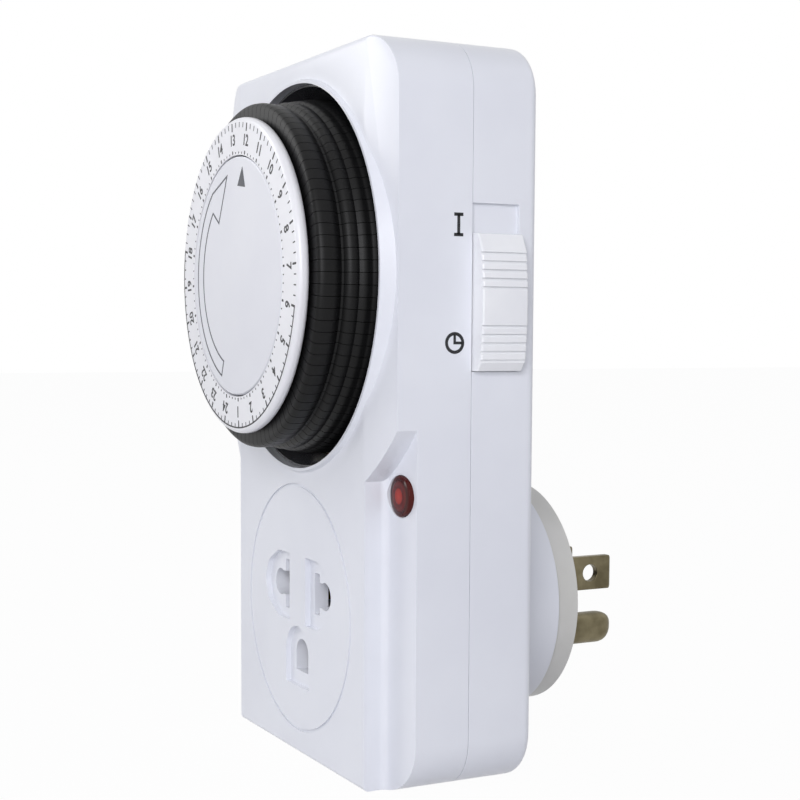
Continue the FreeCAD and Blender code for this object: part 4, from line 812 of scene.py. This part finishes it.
class TIMER_OT_side_marks(bpy.types.Operator):
    """Print the always on mark and the clock mark beside the slide switch"""
    bl_idname = "timer.side_marks"
    bl_label = "Side marks"

    def execute(self, context):
        sizes = context.scene.timer_prints
        half = sizes.mark_stroke / 2

        def on_side(name, ribbons, along, height):
            """Turn ribbons from a front face onto the right side: x becomes y and depth becomes x."""
            points, faces = gathered(ribbons)
            turned = np.stack([-points[:, 1], points[:, 0] + along, points[:, 2] + height], axis=-1)
            piece = outward(piece_from(name, turned, faces))
            coat(piece, "ink")
            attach(piece, "case")

        front = -(SIDE_FACE + sizes.ink_height)
        rear = -(SIDE_FACE - sizes.ink_root)
        tall = sizes.letter_tall
        wide = sizes.letter_wide

        def upright(x, low, high, width):
            """A straight upright bar."""
            heights = np.array([low, high])
            return (np.stack([np.full(2, x - width / 2), heights], axis=-1),
                    np.stack([np.full(2, x + width / 2), heights], axis=-1))

        letter = [
            ribbon(*upright(0, -tall + half, tall - half, 2 * half), front, rear),
            ribbon(*upright(0, tall - 2 * half, tall, 2 * wide), front, rear),
            ribbon(*upright(0, -tall, -tall + 2 * half, 2 * wide), front, rear),
        ]
        on_side("always_on_mark", letter, sizes.letter_along, sizes.letter_rise)

        # The clock is a ring with a hand at twelve and one at three, a little thinner than the ring
        round_turn = np.linspace(0, 2 * math.pi, 48, endpoint=False)
        rim = [polar(sizes.clock_radius - share * 2 * half, round_turn) for share in (1, 0)]
        hands = np.array([[0, 1], [0, 0], [1, 0]]) * sizes.clock_hand
        hand_stroke = 0.85 * sizes.mark_stroke
        clock = [ribbon(*rim, front, rear, closed=True), ribbon(*stroke(hands, hand_stroke), front, rear)]
        on_side("clock_mark", clock, sizes.clock_along, sizes.clock_rise)
        return {"FINISHED"}


def soft_lamp(name, place, aim, size, power, colour):
    """Add a four sided area lamp that faces a point."""
    data = bpy.data.lights.new(name, "AREA")
    data.shape = "RECTANGLE"
    data.size = size[0]
    data.size_y = size[1]
    data.energy = power
    data.color = linear(colour)[:3]
    lamp = bpy.data.objects.new(name, data)
    lamp.location = place
    lamp.rotation_euler = (Vector(aim) - Vector(place)).to_track_quat("-Z", "Y").to_euler()
    bpy.context.scene.collection.objects.link(lamp)


def bright_to_camera(tree, surface, background):
    """Show a plain bright background to the camera, reflections and clear plastic, or else the surface."""
    path = add_node(tree, "ShaderNodeLightPath").outputs
    mirrored = add_node(tree, "ShaderNodeMath", {"operation": "MAXIMUM"},
                        {0: path["Is Camera Ray"], 1: path["Is Glossy Ray"]})
    seen = add_node(tree, "ShaderNodeMath", {"operation": "MAXIMUM"},
                    {0: mirrored.outputs[0], 1: path["Is Transmission Ray"]})
    chosen = add_node(tree, "ShaderNodeMixShader", links={0: seen.outputs[0], 1: surface, 2: background})
    return chosen.outputs[0]


class TIMER_OT_stage(bpy.types.Operator):
    """Set the floor, the lamps, the pale world and the camera of the photograph"""
    bl_idname = "timer.stage"
    bl_label = "Stage"

    def execute(self, context):
        scene = context.scene
        view = scene.timer_stage
        floor_height = CAD_BOX[0][2]

        # Floor: one wide sheet of studio paper, a level grid of points joined by squares. To the camera
        # it is nearly all the white background, and the share of paper left in it shows the shadow.
        reach = 2.5
        lines = 9
        white_share = 0.97
        across = np.linspace(-reach, reach, lines)
        grid_x, grid_y = np.meshgrid(across, across, indexing="ij")
        flat = np.stack([grid_x, grid_y, np.full_like(grid_x, floor_height)], axis=-1).reshape(-1, 3)
        square = np.arange(lines - 1)
        corner = (square[:, None] * lines + square[None, :]).reshape(-1, 1)
        faces = (corner + np.array([0, lines, lines + 1, 1])).tolist()
        floor = piece_from("floor", flat, faces)
        paper = bpy.data.materials.new("studio_paper")
        paper.use_nodes = True
        tree = paper.node_tree
        tree.nodes.clear()
        matt = add_node(tree, "ShaderNodeBsdfDiffuse", {"Color": linear("#D6D6D9")})
        glow = add_node(tree, "ShaderNodeEmission", {"Color": (1, 1, 1, 1), "Strength": 1.0})
        veil = add_node(tree, "ShaderNodeMixShader", {0: white_share},
                        {1: matt.outputs[0], 2: glow.outputs[0]})
        shown = bright_to_camera(tree, matt.outputs[0], veil.outputs[0])
        add_node(tree, "ShaderNodeOutputMaterial", links={"Surface": shown})
        floor.data.materials.append(paper)

        world = bpy.data.worlds.new("studio")
        scene.world = world
        world.use_nodes = True
        tree = world.node_tree
        tree.nodes.clear()
        ambient = add_node(tree, "ShaderNodeBackground", {"Color": linear("#F2F3F8"), "Strength": 0.4})
        white = add_node(tree, "ShaderNodeBackground", {"Color": (1, 1, 1, 1), "Strength": 1.0})
        shown = bright_to_camera(tree, ambient.outputs[0], white.outputs[0])
        add_node(tree, "ShaderNodeOutputWorld", links={"Surface": shown})

        # Lamps: place and size in metres, power in watts, all aimed at the middle of the case
        middle = (0.0, -0.03, 0.035)
        rows = (
            ("side_lamp", (0.44, -0.34, 0.2), (0.26, 0.26), 1.75, "#FBFBFF"),
            ("front_lamp", (-0.66, -0.62, 0.42), (0.3, 0.8), 2.8, "#FFFFFF"),
            ("back_lamp", (0.2, 0.8, 0.7), (0.6, 0.6), 0.7, "#F4F6FF"),
        )
        for name, place, size, power, colour in rows:
            soft_lamp(name, place, middle, size, power, colour)

        # Camera: yaw and pitch give its line of sight, and roll turns its right and top about that line
        forward = Vector((-math.sin(view.yaw) * math.cos(view.pitch),
                          math.cos(view.yaw) * math.cos(view.pitch), math.sin(view.pitch)))
        level = Vector((math.cos(view.yaw), math.sin(view.yaw), 0))
        upward = level.cross(forward)
        right = math.cos(view.roll) * level + math.sin(view.roll) * upward
        top = math.cos(view.roll) * upward - math.sin(view.roll) * level
        lens = bpy.data.cameras.new("camera")
        lens.sensor_width = SENSOR_MILLIMETRES
        lens.lens = SENSOR_MILLIMETRES * view.focal_pixels / FRAME_PIXELS
        lens.shift_y = (view.axis_row - FRAME_PIXELS / 2) / FRAME_PIXELS
        lens.clip_start = 0.01
        lens.clip_end = 20
        camera = bpy.data.objects.new("camera", lens)
        turn = Matrix((right, top, -forward)).transposed().to_4x4()
        camera.matrix_world = Matrix.Translation(view.camera_place) @ turn
        scene.collection.objects.link(camera)
        scene.camera = camera
        scene.view_settings.view_transform = "Standard"
        return {"FINISHED"}


class TIMER_PT_panel(bpy.types.Panel):
    """Lists the steps that dress the timer switch"""
    bl_idname = "TIMER_PT_panel"
    bl_label = "Plug In Timer Switch"
    bl_space_type = "VIEW_3D"
    bl_region_type = "UI"
    bl_category = "Timer"

    def draw(self, context):
        for operator in OPERATORS:
            self.layout.operator(operator.bl_idname)
        for group in (context.scene.timer_prints, context.scene.timer_moulds, context.scene.timer_stage):
            for key in group.__annotations__:
                self.layout.prop(group, key)


SETTINGS = {"timer_prints": TimerPrintSettings, "timer_moulds": TimerMouldSettings,
            "timer_stage": TimerStageSettings}
OPERATORS = (TIMER_OT_finishes, TIMER_OT_mouldings, TIMER_OT_lens, TIMER_OT_segments,
             TIMER_OT_ground_pin, TIMER_OT_dial_marks, TIMER_OT_disc_marks, TIMER_OT_side_marks,
             TIMER_OT_stage)


def register():
    """Register the settings, the operators and the panel."""
    for key, group in SETTINGS.items():
        bpy.utils.register_class(group)
        setattr(bpy.types.Scene, key, bpy.props.PointerProperty(type=group))
    for item in (*OPERATORS, TIMER_PT_panel):
        bpy.utils.register_class(item)


def unregister():
    """Take the panel, the operators and the settings away again."""
    for item in (TIMER_PT_panel, *reversed(OPERATORS)):
        bpy.utils.unregister_class(item)
    for key, group in SETTINGS.items():
        delattr(bpy.types.Scene, key)
        bpy.utils.unregister_class(group)


def main():
    """Run every step in order."""
    register()
    for operator in OPERATORS:
        step = operator.bl_idname.split(".")[1]
        getattr(bpy.ops.timer, step)()


if __name__ == "__main__":
    main()
